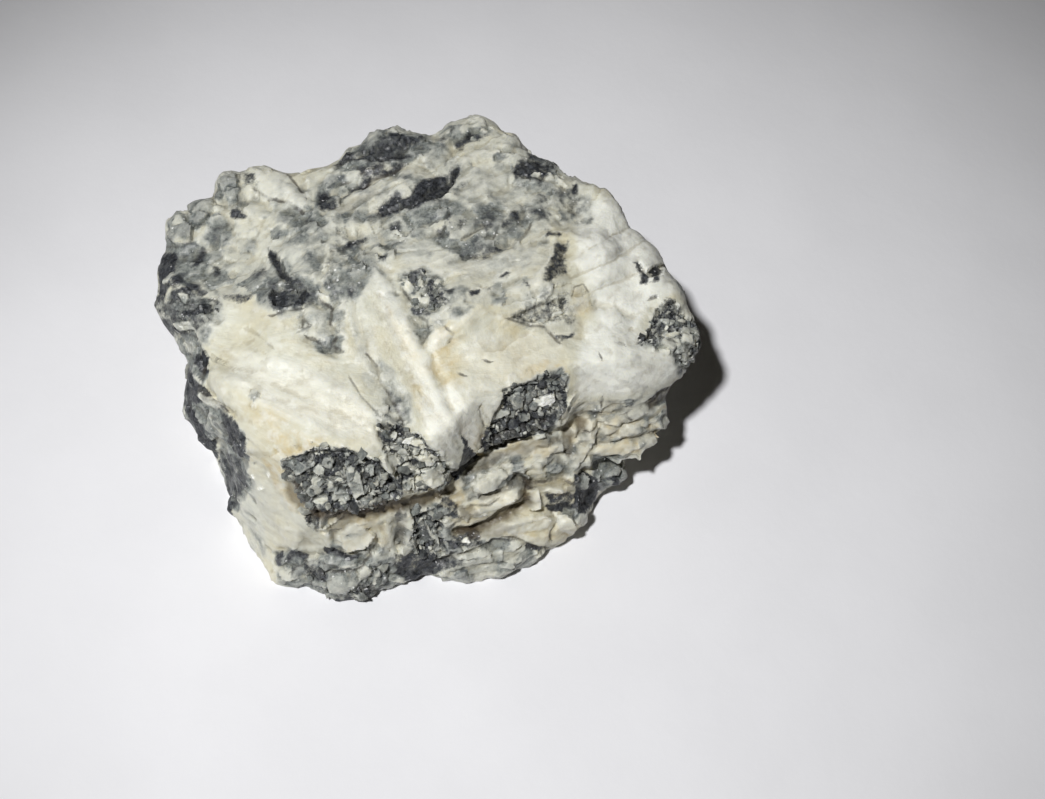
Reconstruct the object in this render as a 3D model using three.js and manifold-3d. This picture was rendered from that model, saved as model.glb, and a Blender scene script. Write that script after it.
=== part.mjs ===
// A hand specimen of pinolite: one broken piece of rock, white magnesite crystals
// grown through dark graphite schist. It rests on a flat underside.
// Units are millimetres, +Z is up, and the origin is the middle of the underside.

import * as THREE from 'three';
import Module from 'manifold-3d';
import { ConvexGeometry } from 'three/addons/geometries/ConvexGeometry.js';
import { ImprovedNoise } from 'three/addons/math/ImprovedNoise.js';
import { mergeVertices } from 'three/addons/utils/BufferGeometryUtils.js';

const wasm = await Module();
wasm.setup();

// ---------------------------------------------------------------- driving sizes

const SPAN_X = 50.3;          // widest, left tip to right corner
const SPAN_Y = 45.5;          // deepest, front toe to back crest
const HEIGHT = 20.2;          // underside to the highest point of the upper face
const SHOULDER = 2.4;         // how far inside the rim the upper face reaches its full height
const FRONT_SHOULDER = 3.4;   // the same over the steep dark face at the front left
const PLAN_RADIUS = 22.0;     // radius that the cells near the middle follow, for even cells

const PLAN_CELLS = 32;        // cells across the upper and lower faces
const WALL_CELLS = 8;         // cells from the underside up to the rim

const RUGGED_TOP = 0.9;       // height of the bumps on the upper face
const RUGGED_WALL = 0.8;      // depth of the bumps on the walls
const BUMPS = [               // the bumps' sizes: length, share of the height, and whether they fold
  { length: 7.7, share: 0.6, folded: false },
  { length: 3.2, share: 0.5, folded: true },
  { length: 1.4, share: 0.35, folded: false },
];
const BED_THICKNESS = 2.6;    // spacing of the beds that show on the walls
const BED_LENGTH = 11;        // how far a bed runs before it fades
const BED_DIP = [0.12, -0.05]; // rise of the beds along X and Y

const STONE_COLOUR = 0xc9c5ba;
const STONE_ROUGHNESS = 0.62;

// Rim of the upper slab, clockwise from the left tip: x, y and height.
const RIM = [
  [-25.1, 1.0, 12.0], [-25.0, 3.8, 12.5], [-24.2, 6.8, 13.0], [-24.7, 9.7, 13.0],
  [-22.8, 11.0, 13.5], [-21.2, 12.2, 13.5], [-20.2, 14.8, 13.5], [-17.4, 16.0, 14.0],
  [-13.5, 15.2, 14.5], [-9.8, 16.2, 14.5], [-7.9, 18.8, 14.5], [-3.9, 21.1, 15.0],
  [-0.3, 20.1, 15.5], [2.9, 22.8, 15.5], [5.4, 22.7, 15.5], [8.7, 20.8, 15.5],
  [11.1, 18.1, 15.5], [14.1, 15.8, 15.5], [17.3, 14.3, 15.0], [19.2, 11.9, 15.0],
  [21.4, 9.6, 15.0], [22.6, 6.6, 14.5], [24.6, 3.0, 14.0], [25.2, -0.5, 13.5],
  [24.8, -2.8, 13.0],
  [23.1, -4.5, 12.5], [20.1, -6.4, 12.5], [18.0, -7.4, 12.5], [15.4, -7.9, 12.5],
  [13.8, -8.5, 12.5], [12.5, -10.3, 12.0], [10.4, -10.6, 12.0], [8.1, -11.6, 12.0],
  [5.0, -12.7, 11.5], [3.5, -14.1, 11.5], [1.1, -16.6, 11.5], [-2.4, -18.0, 11.5],
  [-4.9, -19.1, 11.5], [-7.9, -19.5, 11.5], [-10.1, -19.3, 12.0], [-11.6, -18.0, 13.5],
  [-12.5, -16.7, 15.0], [-15.5, -14.7, 15.0], [-17.3, -12.0, 14.5], [-19.5, -10.2, 14.0],
  [-20.9, -7.3, 13.5], [-21.7, -4.7, 13.0], [-23.2, -2.3, 12.5],
];

// Edge of the underside, clockwise from the left: x and y.
const FOOT = [
  [-20.6, 0.0], [-21.0, 4.0], [-20.2, 8.5], [-17.6, 11.6], [-13.0, 12.2], [-8.6, 13.4],
  [-5.0, 16.2], [-1.0, 17.2], [3.5, 18.8], [8.0, 17.2], [11.2, 14.6], [14.6, 12.2],
  [17.6, 9.0], [19.6, 5.0], [20.6, 0.0], [20.4, -5.0], [18.7, -9.2], [16.9, -11.6],
  [16.4, -13.0], [15.1, -14.6], [12.5, -16.8], [9.5, -19.0], [7.6, -19.7], [5.8, -19.7],
  [3.7, -20.5], [1.1, -19.7], [-2.2, -21.0], [-5.2, -22.5], [-7.4, -22.6], [-10.2, -21.2],
  [-13.0, -21.4], [-14.4, -18.6], [-15.7, -16.7], [-16.9, -14.3], [-17.7, -11.4],
  [-19.2, -8.0], [-20.0, -4.0],
];

// Spot heights of the upper face: x, y and height.
const SPOTS = [
  [-20, 4.5, 14.6], [-20, 11, 15.0], [-10, 12.5, 16.6], [0, 16.5, 17.4], [6, 18.5, 17.2],
  [14, 11.5, 17.6], [20, 4.5, 16.8], [21, -1.5, 15.6], [14, -4, 17.4], [8.5, -7.5, 17.4],
  [4, -9, 17.6], [0, -12, 17.0], [-8, -14, 17.6], [-14, -12, 16.8], [-18, -5.5, 15.4],
  [-12, -4, 18.2], [-6, -2, 19.0], [2, -2, 20.0], [8, 0.5, 19.6], [14, 4.5, 19.0],
  [0, 8, 18.6], [-8, 5.5, 17.6], [-3, 1, 19.3],
];

// Wall profiles as pairs: share of the height, share of the way out from rim to foot.
const STEPPED_WALL = [
  [0, 1], [0.13, 1.02], [0.26, 0.78], [0.4, 0.7], [0.52, 0.36], [0.7, 0.28], [0.86, -0.22], [1, 0],
];
const PLAIN_WALL = [[0, 1], [0.15, 0.74], [0.35, 0.42], [0.6, 0.12], [0.85, -0.02], [1, 0]];
const FRONT_FROM = 246;       // the stepped front wall lies between these bearings, in degrees
const FRONT_TO = 338;
const DARK_FACE_FROM = 238;   // the dark face of the slab, at the front left
const DARK_FACE_TO = 268;
const FRONT_FADE = 14;        // degrees over which it turns into the plain wall
const DARK_FACE_FADE = 6;     // degrees over which the chamfer changes its width
const SHOULDER_CURVE = 1.4;   // 1 is a flat chamfer, more rounds its upper edge

// ---------------------------------------------------------------- small helpers

const noise = new ImprovedNoise();

function bearing(x, y) {
  return (THREE.MathUtils.radToDeg(Math.atan2(y, x)) + 360) % 360;
}

// Radius of a plan outline at a bearing, with the height that the outline holds there.
function outlineAt(outline, degrees) {
  for (let i = 0; i < outline.length; i++) {
    const a = outline[i];
    const b = outline[(i + 1) % outline.length];
    const from = bearing(a[0], a[1]);
    const turn = (from - bearing(b[0], b[1]) + 360) % 360;
    const ahead = (from - degrees + 360) % 360;
    if (ahead > turn) continue;
    const angle = THREE.MathUtils.degToRad(degrees);
    const ray = new THREE.Vector2(Math.cos(angle), Math.sin(angle));
    const edge = new THREE.Vector2(b[0] - a[0], b[1] - a[1]);
    const start = new THREE.Vector2(a[0], a[1]);
    const radius = start.cross(edge) / ray.cross(edge);
    const along = ray.multiplyScalar(radius).distanceTo(start) / edge.length();
    return { radius, height: THREE.MathUtils.lerp(a[2] ?? 0, b[2] ?? 0, along) };
  }
  throw new Error(`the outline has a gap at ${degrees} degrees`);
}

// Share of the way out from rim to foot, at a share of the height.
function profileAt(profile, share) {
  const after = Math.max(1, profile.findIndex(([s]) => s >= share));
  const [s0, v0] = profile[after - 1];
  const [s1, v1] = profile[after];
  return v0 + (v1 - v0) * (share - s0) / (s1 - s0);
}

// Height of the upper face from the spot heights, weighted by nearness.
function upperFace(x, y) {
  let sum = 0;
  let weights = 0;
  for (const [sx, sy, height] of SPOTS) {
    const weight = 1 / (1 + ((x - sx) ** 2 + (y - sy) ** 2) ** 1.5);
    sum += height * weight;
    weights += weight;
  }
  return sum / weights;
}

// Broken-rock bumps: smooth noise at three lengths, the middle one folded into edges.
function rugged(x, y, z) {
  let sum = 0;
  BUMPS.forEach(({ length, share, folded }, octave) => {
    const wave = noise.noise(x / length + 7 * octave, y / length, z / length);
    sum += share * (folded ? 0.25 - Math.abs(wave) : wave);
  });
  return sum;
}

// Beds: the wall steps in and out as it climbs, and the beds dip a little.
function bedding(x, y, z) {
  const level = z + BED_DIP[0] * x + BED_DIP[1] * y;
  return noise.noise(x / BED_LENGTH, y / BED_LENGTH, 2 * level / BED_THICKNESS);
}

function frontShare(degrees) {
  const inside = Math.min(degrees - FRONT_FROM, FRONT_TO - degrees);
  return THREE.MathUtils.smoothstep(inside, -FRONT_FADE / 2, FRONT_FADE / 2);
}

// The chamfer is widest over the dark face, between these bearings.
function shoulderAt(degrees) {
  const inside = Math.min(degrees - DARK_FACE_FROM, DARK_FACE_TO - degrees);
  const fade = DARK_FACE_FADE / 2;
  return THREE.MathUtils.lerp(SHOULDER, FRONT_SHOULDER, THREE.MathUtils.smoothstep(inside, -fade, fade));
}

// Square cell corner to round bearing and share of the radius, rings kept as rings.
function squareToRound(a, b) {
  const share = Math.max(Math.abs(a), Math.abs(b));
  if (share === 0) return { share, degrees: 0 };
  const leftOrRight = Math.abs(a) >= Math.abs(b);
  const turn = leftOrRight ? 45 * (b / a) : 90 - 45 * (a / b);
  const behind = leftOrRight ? a < 0 : b < 0;
  return { share, degrees: (turn + (behind ? 180 : 0) + 360) % 360 };
}

// ---------------------------------------------------------------- the main mass

function mainMass() {
  const geometry = new THREE.BoxGeometry(2, 2, 1, PLAN_CELLS, PLAN_CELLS, WALL_CELLS);
  const corners = geometry.attributes.position;
  for (let i = 0; i < corners.count; i++) {
    const up = corners.getZ(i) + 0.5;
    const { share, degrees } = squareToRound(corners.getX(i), corners.getY(i));
    const rim = outlineAt(RIM, degrees);
    const foot = outlineAt(FOOT, degrees);
    const climb = up * rim.height;
    const turn = THREE.MathUtils.degToRad(degrees);
    const way = new THREE.Vector2(Math.cos(turn), Math.sin(turn));

    const plain = profileAt(PLAIN_WALL, up);
    const stepped = profileAt(STEPPED_WALL, up);
    let radius = THREE.MathUtils.lerp(
      rim.radius, foot.radius, THREE.MathUtils.lerp(plain, stepped, frontShare(degrees)));
    const onWall = [radius * way.x, radius * way.y, climb];
    radius += Math.sin(Math.PI * up) * RUGGED_WALL * (rugged(...onWall) + bedding(...onWall));

    const spread = share * THREE.MathUtils.lerp(PLAN_RADIUS, radius, share);
    const x = spread * way.x;
    const y = spread * way.y;
    let z = climb;
    if (up === 1) {
      const inside = rim.radius - spread;
      const risen = 1 - Math.max(0, 1 - inside / shoulderAt(degrees)) ** SHOULDER_CURVE;
      z = THREE.MathUtils.lerp(rim.height, upperFace(x, y), risen);
      z += risen * RUGGED_TOP * rugged(x, y, 0);
    }
    corners.setXYZ(i, x, y, z);
  }
  return geometry;
}

// ---------------------------------------------------------------- ledges and crystal blocks

// Each block is the smallest closed form around its corners, and is set into the main mass.
const BLOCKS = {
  cleavageBlock: [
    [22.8, -4.9, 11.2], [22.7, -5.6, 8.8], [22.4, -6.8, 7.8], [20.2, -9.6, 6.4], [15.6, -10.6, 6.2],
    [13.4, -9.4, 8.0], [13.0, -8.6, 11.6], [19.0, -7.6, 11.8], [12.0, -3.0, 6.0], [21.0, -2.0, 6.0],
  ],
  cleavageToothRight: [
    [22.2, -5.4, 9.6], [23.2, -7.0, 8.2], [21.8, -8.8, 6.9], [20.2, -7.2, 6.4], [19.6, -5.0, 9.6],
  ],
  cleavageToothMiddle: [
    [16.8, -8.8, 9.4], [15.3, -11.6, 6.6], [14.4, -9.6, 6.0], [13.0, -9.0, 9.2], [16.0, -6.0, 6.4],
  ],
  cleavageToothLeft: [
    [14.6, -9.2, 9.6], [13.6, -11.8, 6.6], [12.2, -10.0, 6.2], [11.8, -9.0, 9.6], [14.0, -6.4, 6.4],
  ],
  shadedLump: [
    [19.0, -9.0, 0], [18.6, -10.2, 3.2], [16.8, -11.8, 4.0], [16.2, -11.8, 0], [19.2, -7.0, 4.6],
    [15.0, -8.0, 4.6], [15.0, -8.0, 0], [19.6, -6.6, 0],
  ],
  laminatedBed: [
    [12.9, -10.6, 9.4], [10.6, -12.4, 9.2], [6.0, -13.8, 9.6], [4.0, -15.4, 9.0], [5.0, -10.0, 10.4],
    [12.6, -8.6, 10.6], [12.4, -11.4, 7.6], [4.4, -15.6, 8.0], [4.0, -10.0, 7.6],
  ],
  middleLedge: [
    [1.2, -17.2, 7.6], [4.4, -16.8, 7.4], [7.6, -15.2, 7.0], [12.4, -13.6, 6.8], [14.6, -12.4, 6.4],
    [13.6, -9.0, 7.4], [2.0, -13.0, 8.6], [1.2, -17.6, 5.4], [12.8, -14.4, 4.6], [14.8, -12.6, 4.6],
    [4.0, -10.0, 4.6],
  ],
  lowerLedge: [
    [6.4, -17.0, 4.4], [9.6, -17.6, 4.0], [12.6, -16.4, 4.0], [15.6, -14.0, 4.4], [15.2, -11.2, 4.8],
    [5.6, -13.0, 5.2], [6.2, -18.6, 1.8], [9.8, -18.8, 1.6], [12.8, -17.0, 1.2], [15.8, -14.2, 1.4],
    [8.0, -10.0, 1.2],
  ],
  toeBand: [
    [1.0, -19.0, 2.6], [4.0, -19.8, 2.6], [8.0, -19.2, 2.4], [11.0, -17.6, 2.0], [8.0, -13.0, 3.0],
    [0.0, -14.0, 3.0], [1.0, -19.9, 0], [4.0, -20.6, 0], [8.0, -19.8, 0], [11.6, -17.6, 0],
    [0.0, -12.0, 0],
  ],
  creamBlock: [
    [-8.6, -19.3, 9.6], [-2.4, -18.2, 9.2], [-3.0, -19.6, 6.2], [-4.6, -20.4, 4.0], [-8.0, -20.5, 5.4],
    [-9.2, -17.0, 9.0], [-2.0, -14.0, 9.0], [-2.0, -14.0, 4.0], [-9.0, -14.0, 4.0],
  ],
  rimPlateLeft: [
    [-24.9, 9.8, 12.6], [-24.4, 8.8, 14.0], [-23.0, 10.4, 14.4], [-22.0, 8.6, 15.0], [-22.6, 6.4, 14.8],
    [-20.0, 8.0, 10.0], [-22.6, 6.0, 11.0],
  ],
  rimPlateMiddle: [
    [-22.6, 11.3, 12.8], [-22.0, 11.1, 14.8], [-20.9, 12.0, 14.7], [-19.8, 10.2, 15.6],
    [-20.9, 8.4, 15.3], [-18.0, 9.0, 10.0], [-20.6, 7.6, 10.0],
  ],
  rimPlateRight: [
    [-20.4, 15.0, 12.8], [-19.9, 14.4, 14.8], [-18.4, 14.9, 15.0], [-18.0, 12.8, 15.9],
    [-19.6, 11.7, 15.4], [-16.0, 11.0, 11.0], [-18.4, 10.0, 11.0],
  ],
  paleCrystal: [
    [-16.8, 15.8, 13.0], [-16.6, 14.9, 14.9], [-13.4, 13.9, 15.4], [-12.2, 12.0, 16.4],
    [-16.4, 12.4, 16.0], [-12.0, 12.0, 12.0], [-16.0, 12.0, 12.0],
  ],
  leftFace: [
    [-12.4, -16.8, 14.4], [-15.6, -14.4, 13.6], [-16.4, -14.6, 5.0], [-14.2, -18.2, 1.6],
    [-11.4, -20.6, 2.6], [-10.4, -19.6, 8.6], [-12.0, -12.0, 13.0], [-12.0, -12.0, 3.0],
  ],
  leftSlab: [
    [-21.6, -5.6, 9.0], [-21.6, -8.0, 7.6], [-20.4, -10.0, 6.8], [-18.6, -11.4, 5.8],
    [-18.0, -12.6, 4.6], [-19.6, -9.4, 12.0], [-16.0, -8.0, 12.0], [-16.0, -8.0, 4.0],
    [-20.6, -4.0, 4.0],
  ],
};

function block(corners) {
  return new ConvexGeometry(corners.map((corner) => new THREE.Vector3(...corner)));
}

// ---------------------------------------------------------------- fracture faces

// The rock broke along flat faces on its back and sides. Each face is named by the bearing
// it looks to, how far it leans under the rim, in degrees, and how far it lies from the middle
// of the underside.
const FRACTURES = [
  { bearing: 356, lean: 27, away: 16.9 },
  { bearing: 14, lean: 32, away: 14.0 },
  { bearing: 34, lean: 22, away: 16.4 },
  { bearing: 54, lean: 33, away: 11.6 },
  { bearing: 79, lean: 20, away: 17.7 },
  { bearing: 108, lean: 30, away: 12.2 },
  { bearing: 136, lean: 24, away: 16.8 },
  { bearing: 157, lean: 30, away: 16.6 },
  { bearing: 177, lean: 25, away: 17.5 },
];
const WASTE = 60;             // side of the block of waste rock beyond a fracture face

function wasteRock({ bearing: looks, lean, away }) {
  const turn = THREE.MathUtils.degToRad(looks);
  const tip = THREE.MathUtils.degToRad(lean);
  const normal = new THREE.Vector3(
    Math.cos(turn) * Math.cos(tip), Math.sin(turn) * Math.cos(tip), -Math.sin(tip));
  const geometry = new THREE.BoxGeometry(WASTE, WASTE, WASTE);
  geometry.translate(0, 0, WASTE / 2);
  const up = new THREE.Vector3(0, 0, 1);
  geometry.applyQuaternion(new THREE.Quaternion().setFromUnitVectors(up, normal));
  geometry.translate(...normal.clone().multiplyScalar(away).toArray());
  return geometry;
}

// ---------------------------------------------------------------- joining

const MERGE_DISTANCE = 1e-4;

function toSolid(geometry) {
  const bare = geometry.clone();
  bare.deleteAttribute('normal');
  bare.deleteAttribute('uv');
  const merged = mergeVertices(bare, MERGE_DISTANCE);
  return new wasm.Manifold(new wasm.Mesh({
    numProp: 3,
    vertProperties: new Float32Array(merged.attributes.position.array),
    triVerts: new Uint32Array(merged.index.array),
  }));
}

function toGeometry(solid) {
  const mesh = solid.getMesh();
  const geometry = new THREE.BufferGeometry();
  geometry.setAttribute('position', new THREE.Float32BufferAttribute(mesh.vertProperties, 3));
  geometry.setIndex(new THREE.Uint32BufferAttribute(mesh.triVerts, 1));
  geometry.computeVertexNormals();
  return geometry;
}

// Brings the whole stone to its driving sizes, centred over the origin.
function fitToSize(geometry) {
  geometry.computeBoundingBox();
  const box = geometry.boundingBox;
  const size = box.getSize(new THREE.Vector3());
  const middle = box.getCenter(new THREE.Vector3());
  geometry.translate(-middle.x, -middle.y, -box.min.z);
  geometry.scale(SPAN_X / size.x, SPAN_Y / size.y, HEIGHT / size.z);
  return geometry;
}

let stone = toSolid(mainMass());
for (const corners of Object.values(BLOCKS)) {
  stone = stone.add(toSolid(block(corners)));
}
for (const face of FRACTURES) {
  stone = stone.subtract(toSolid(wasteRock(face)));
}

const mesh = new THREE.Mesh(
  fitToSize(toGeometry(stone)),
  new THREE.MeshStandardMaterial({ color: STONE_COLOUR, roughness: STONE_ROUGHNESS, metalness: 0 }),
);
mesh.name = 'stone';

const specimen = new THREE.Group();
specimen.add(mesh);

export default specimen;
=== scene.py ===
import bpy
import numpy as np
from mathutils import Matrix, Vector
from mathutils.bvhtree import BVHTree


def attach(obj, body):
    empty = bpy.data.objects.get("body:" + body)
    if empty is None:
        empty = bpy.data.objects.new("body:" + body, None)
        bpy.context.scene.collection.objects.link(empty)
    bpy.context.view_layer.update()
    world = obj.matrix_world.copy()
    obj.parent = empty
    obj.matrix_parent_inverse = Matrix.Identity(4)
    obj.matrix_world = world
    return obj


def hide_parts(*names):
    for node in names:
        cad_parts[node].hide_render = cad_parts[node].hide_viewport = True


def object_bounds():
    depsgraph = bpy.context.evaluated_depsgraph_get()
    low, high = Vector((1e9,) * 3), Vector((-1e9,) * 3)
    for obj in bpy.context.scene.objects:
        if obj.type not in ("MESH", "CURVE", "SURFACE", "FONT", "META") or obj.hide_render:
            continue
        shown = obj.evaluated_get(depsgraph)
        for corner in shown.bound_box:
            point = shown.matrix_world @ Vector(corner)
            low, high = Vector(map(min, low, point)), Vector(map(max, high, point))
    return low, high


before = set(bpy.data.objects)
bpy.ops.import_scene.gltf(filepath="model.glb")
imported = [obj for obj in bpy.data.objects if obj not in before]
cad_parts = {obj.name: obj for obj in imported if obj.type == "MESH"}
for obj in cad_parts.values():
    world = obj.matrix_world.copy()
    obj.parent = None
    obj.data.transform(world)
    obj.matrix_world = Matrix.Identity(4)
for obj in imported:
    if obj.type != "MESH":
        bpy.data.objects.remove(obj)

CAD_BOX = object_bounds()
MM = 0.001
SEED = 31
FAR = 1e9  # further than anything
BATCH = 6000  # points that are worked on at once

# ----------------------------------------------------------------- camera

FRAME_WIDTH = 1045
FRAME_HEIGHT = 799
FOCAL = 1480.0
SENSOR = 36.0
CAMERA_PLACE = np.array((-8.789, -77.421, 123.860))
FORWARD = np.array((0.12973, 0.52497, -0.84117))
ROLL = np.radians(-14.40)


def unit(v):
    return v / np.linalg.norm(v, axis=-1, keepdims=True)


FORWARD = unit(FORWARD)
LEVEL_RIGHT = unit(np.array((FORWARD[1], -FORWARD[0], 0.0)))
LEVEL_DOWN = np.cross(FORWARD, LEVEL_RIGHT)
RIGHT = np.cos(ROLL) * LEVEL_RIGHT + np.sin(ROLL) * LEVEL_DOWN
DOWN = np.cross(FORWARD, RIGHT)


def add_camera():
    data = bpy.data.cameras.new("camera")
    data.sensor_width = SENSOR
    data.sensor_fit = "HORIZONTAL"
    data.lens = SENSOR * FOCAL / FRAME_WIDTH
    data.clip_start = 0.005
    data.clip_end = 5.0
    camera = bpy.data.objects.new("camera", data)
    bpy.context.scene.collection.objects.link(camera)
    turn = Matrix((RIGHT, -DOWN, -FORWARD)).transposed().to_4x4()
    camera.matrix_world = Matrix.Translation(Vector(CAMERA_PLACE * MM)) @ turn
    bpy.context.scene.camera = camera


def to_frame(points):
    """Where points of the stone, in millimetres, lie in the camera's frame, in pixels."""
    d = points - CAMERA_PLACE
    z = d @ FORWARD
    u = FRAME_WIDTH / 2 + FOCAL * (d @ RIGHT) / z
    v = FRAME_HEIGHT / 2 + FOCAL * (d @ DOWN) / z
    return np.stack((u, v), axis=1)


add_camera()

# ----------------------------------------------------------------- noise

LATTICE = 256
_draw = np.random.default_rng(SEED)
SHUFFLE = np.concatenate([_draw.permutation(LATTICE)] * 3)
GRADIENTS = unit(_draw.normal(size=(LATTICE, 3)))


def noise(points, size, seed=0):
    """Smooth noise from -1 to 1 with lumps of about the given size."""
    p = points / size + seed * 17.31
    cell = np.floor(p).astype(int)
    f = p - cell
    w = f * f * f * (f * (f * 6 - 15) + 10)
    total = np.zeros(len(p))
    for corner in np.ndindex(2, 2, 2):
        c = (cell + corner) % LATTICE
        h = SHUFFLE[SHUFFLE[SHUFFLE[c[:, 0]] + c[:, 1]] + c[:, 2]]
        weight = np.prod(np.where(np.array(corner) == 1, w, 1 - w), axis=1)
        total += weight * np.sum(GRADIENTS[h] * (f - corner), axis=1)
    return total * 1.6


def shaken(points, size, first_seed, amount):
    """The points, each moved a little its own way."""
    return points + amount * np.stack([noise(points, size, first_seed + n) for n in range(3)], axis=1)


def layered_noise(points, size, seed=0, layers=3):
    total = np.zeros(len(points))
    strength = 1.0
    for n in range(layers):
        total += strength * noise(points, size / 2**n, seed + n)
        strength *= 0.5
    return total


def ramp(x, low, high):
    t = np.clip((x - low) / (high - low), 0, 1)
    return t * t * (3 - 2 * t)


# ----------------------------------------------------------------- body of the stone

BASE_VOXEL = 0.46  # millimetres
SMOOTHING = 2

# dark patches whose skin is refined once more, and the softness of their edge in pixels
DETAIL_SOFTNESS = 6
DETAILED = ("pocket one", "pocket two", "pocket two low", "pocket three", "right patch", "rhomb nest",
            "nest", "black twin veil", "patch over cream", "left patch")


def only(obj):
    bpy.ops.object.select_all(action="DESELECT")
    obj.select_set(True)
    bpy.context.view_layer.objects.active = obj


def copy_of_stone():
    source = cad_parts["stone"]
    obj = bpy.data.objects.new("pinolite_stone", source.data.copy())
    bpy.context.scene.collection.objects.link(obj)
    obj.data.materials.clear()
    only(obj)
    bpy.ops.object.mode_set(mode="EDIT")
    bpy.ops.mesh.select_all(action="SELECT")
    bpy.ops.mesh.remove_doubles(threshold=1e-7)
    bpy.ops.object.mode_set(mode="OBJECT")
    return obj


def remesh(obj, voxel):
    only(obj)
    modifier = obj.modifiers.new("fine skin", "REMESH")
    modifier.mode = "VOXEL"
    modifier.voxel_size = voxel * MM
    modifier.adaptivity = 0.0
    bpy.ops.object.modifier_apply(modifier=modifier.name)


def places(obj):
    flat = np.empty(len(obj.data.vertices) * 3, np.float32)
    obj.data.vertices.foreach_get("co", flat)
    return flat.reshape(-1, 3).astype(float) / MM


def put(obj, points):
    obj.data.vertices.foreach_set("co", (points * MM).astype(np.float32).ravel())
    obj.data.update()


def normals(obj):
    flat = np.empty(len(obj.data.vertices) * 3, np.float32)
    obj.data.vertex_normals.foreach_get("vector", flat)
    return flat.reshape(-1, 3).astype(float)


def edge_ends(obj):
    flat = np.empty(len(obj.data.edges) * 2, np.int32)
    obj.data.edges.foreach_get("vertices", flat)
    return flat.reshape(-1, 2)


def spread(values, ends, passes):
    """Averages values with those of the neighbouring vertices."""
    count = len(values)
    degree = np.bincount(ends.ravel(), minlength=count)
    values = values.reshape(count, -1)
    for _ in range(passes):
        mean = np.empty_like(values)
        for k in range(values.shape[1]):
            column = values[:, k]
            total = np.bincount(ends[:, 0], column[ends[:, 1]], count)
            total += np.bincount(ends[:, 1], column[ends[:, 0]], count)
            mean[:, k] = total / np.maximum(degree, 1)
        values = 0.5 * values + 0.5 * mean
    return values


def seen_share(obj, points, directions):
    """1 where the camera looks straight at a vertex, falling to 0 where it grazes or is hidden."""
    tree = BVHTree.FromObject(obj, bpy.context.evaluated_depsgraph_get())
    towards = unit(CAMERA_PLACE - points)
    facing = np.sum(towards * directions, axis=1)
    share = ramp(facing, 0.04, 0.20)
    start = (points + directions * 0.12) * MM
    for i in np.flatnonzero(share > 0):
        hit = tree.ray_cast(Vector(start[i]), Vector(towards[i]), 0.08)
        if hit[0] is not None:
            share[i] = 0
    return share


def refine(obj, share):
    """Halves the edges of the faces that show most."""
    mesh = obj.data
    chosen = share > 0.35
    chosen &= places(obj)[:, 2] > 0.6
    corners = np.empty(len(mesh.loops), np.int32)
    mesh.loops.foreach_get("vertex_index", corners)
    starts = np.empty(len(mesh.polygons), np.int32)
    mesh.polygons.foreach_get("loop_start", starts)
    picked = np.minimum.reduceat(chosen[corners].astype(int), starts) == 1
    only(obj)
    bpy.ops.object.mode_set(mode="EDIT")
    bpy.ops.mesh.select_mode(type="FACE")
    bpy.ops.mesh.select_all(action="DESELECT")
    bpy.ops.object.mode_set(mode="OBJECT")
    mesh.polygons.foreach_set("select", picked)
    bpy.ops.object.mode_set(mode="EDIT")
    bpy.ops.mesh.subdivide(number_cuts=1)
    bpy.ops.mesh.select_mode(type="VERT")
    bpy.ops.object.mode_set(mode="OBJECT")


# ----------------------------------------------------------------- traced marks
# Every outline and stroke is a list of places in the camera's frame, in pixels.
# About eleven pixels are a millimetre of stone.

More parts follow.
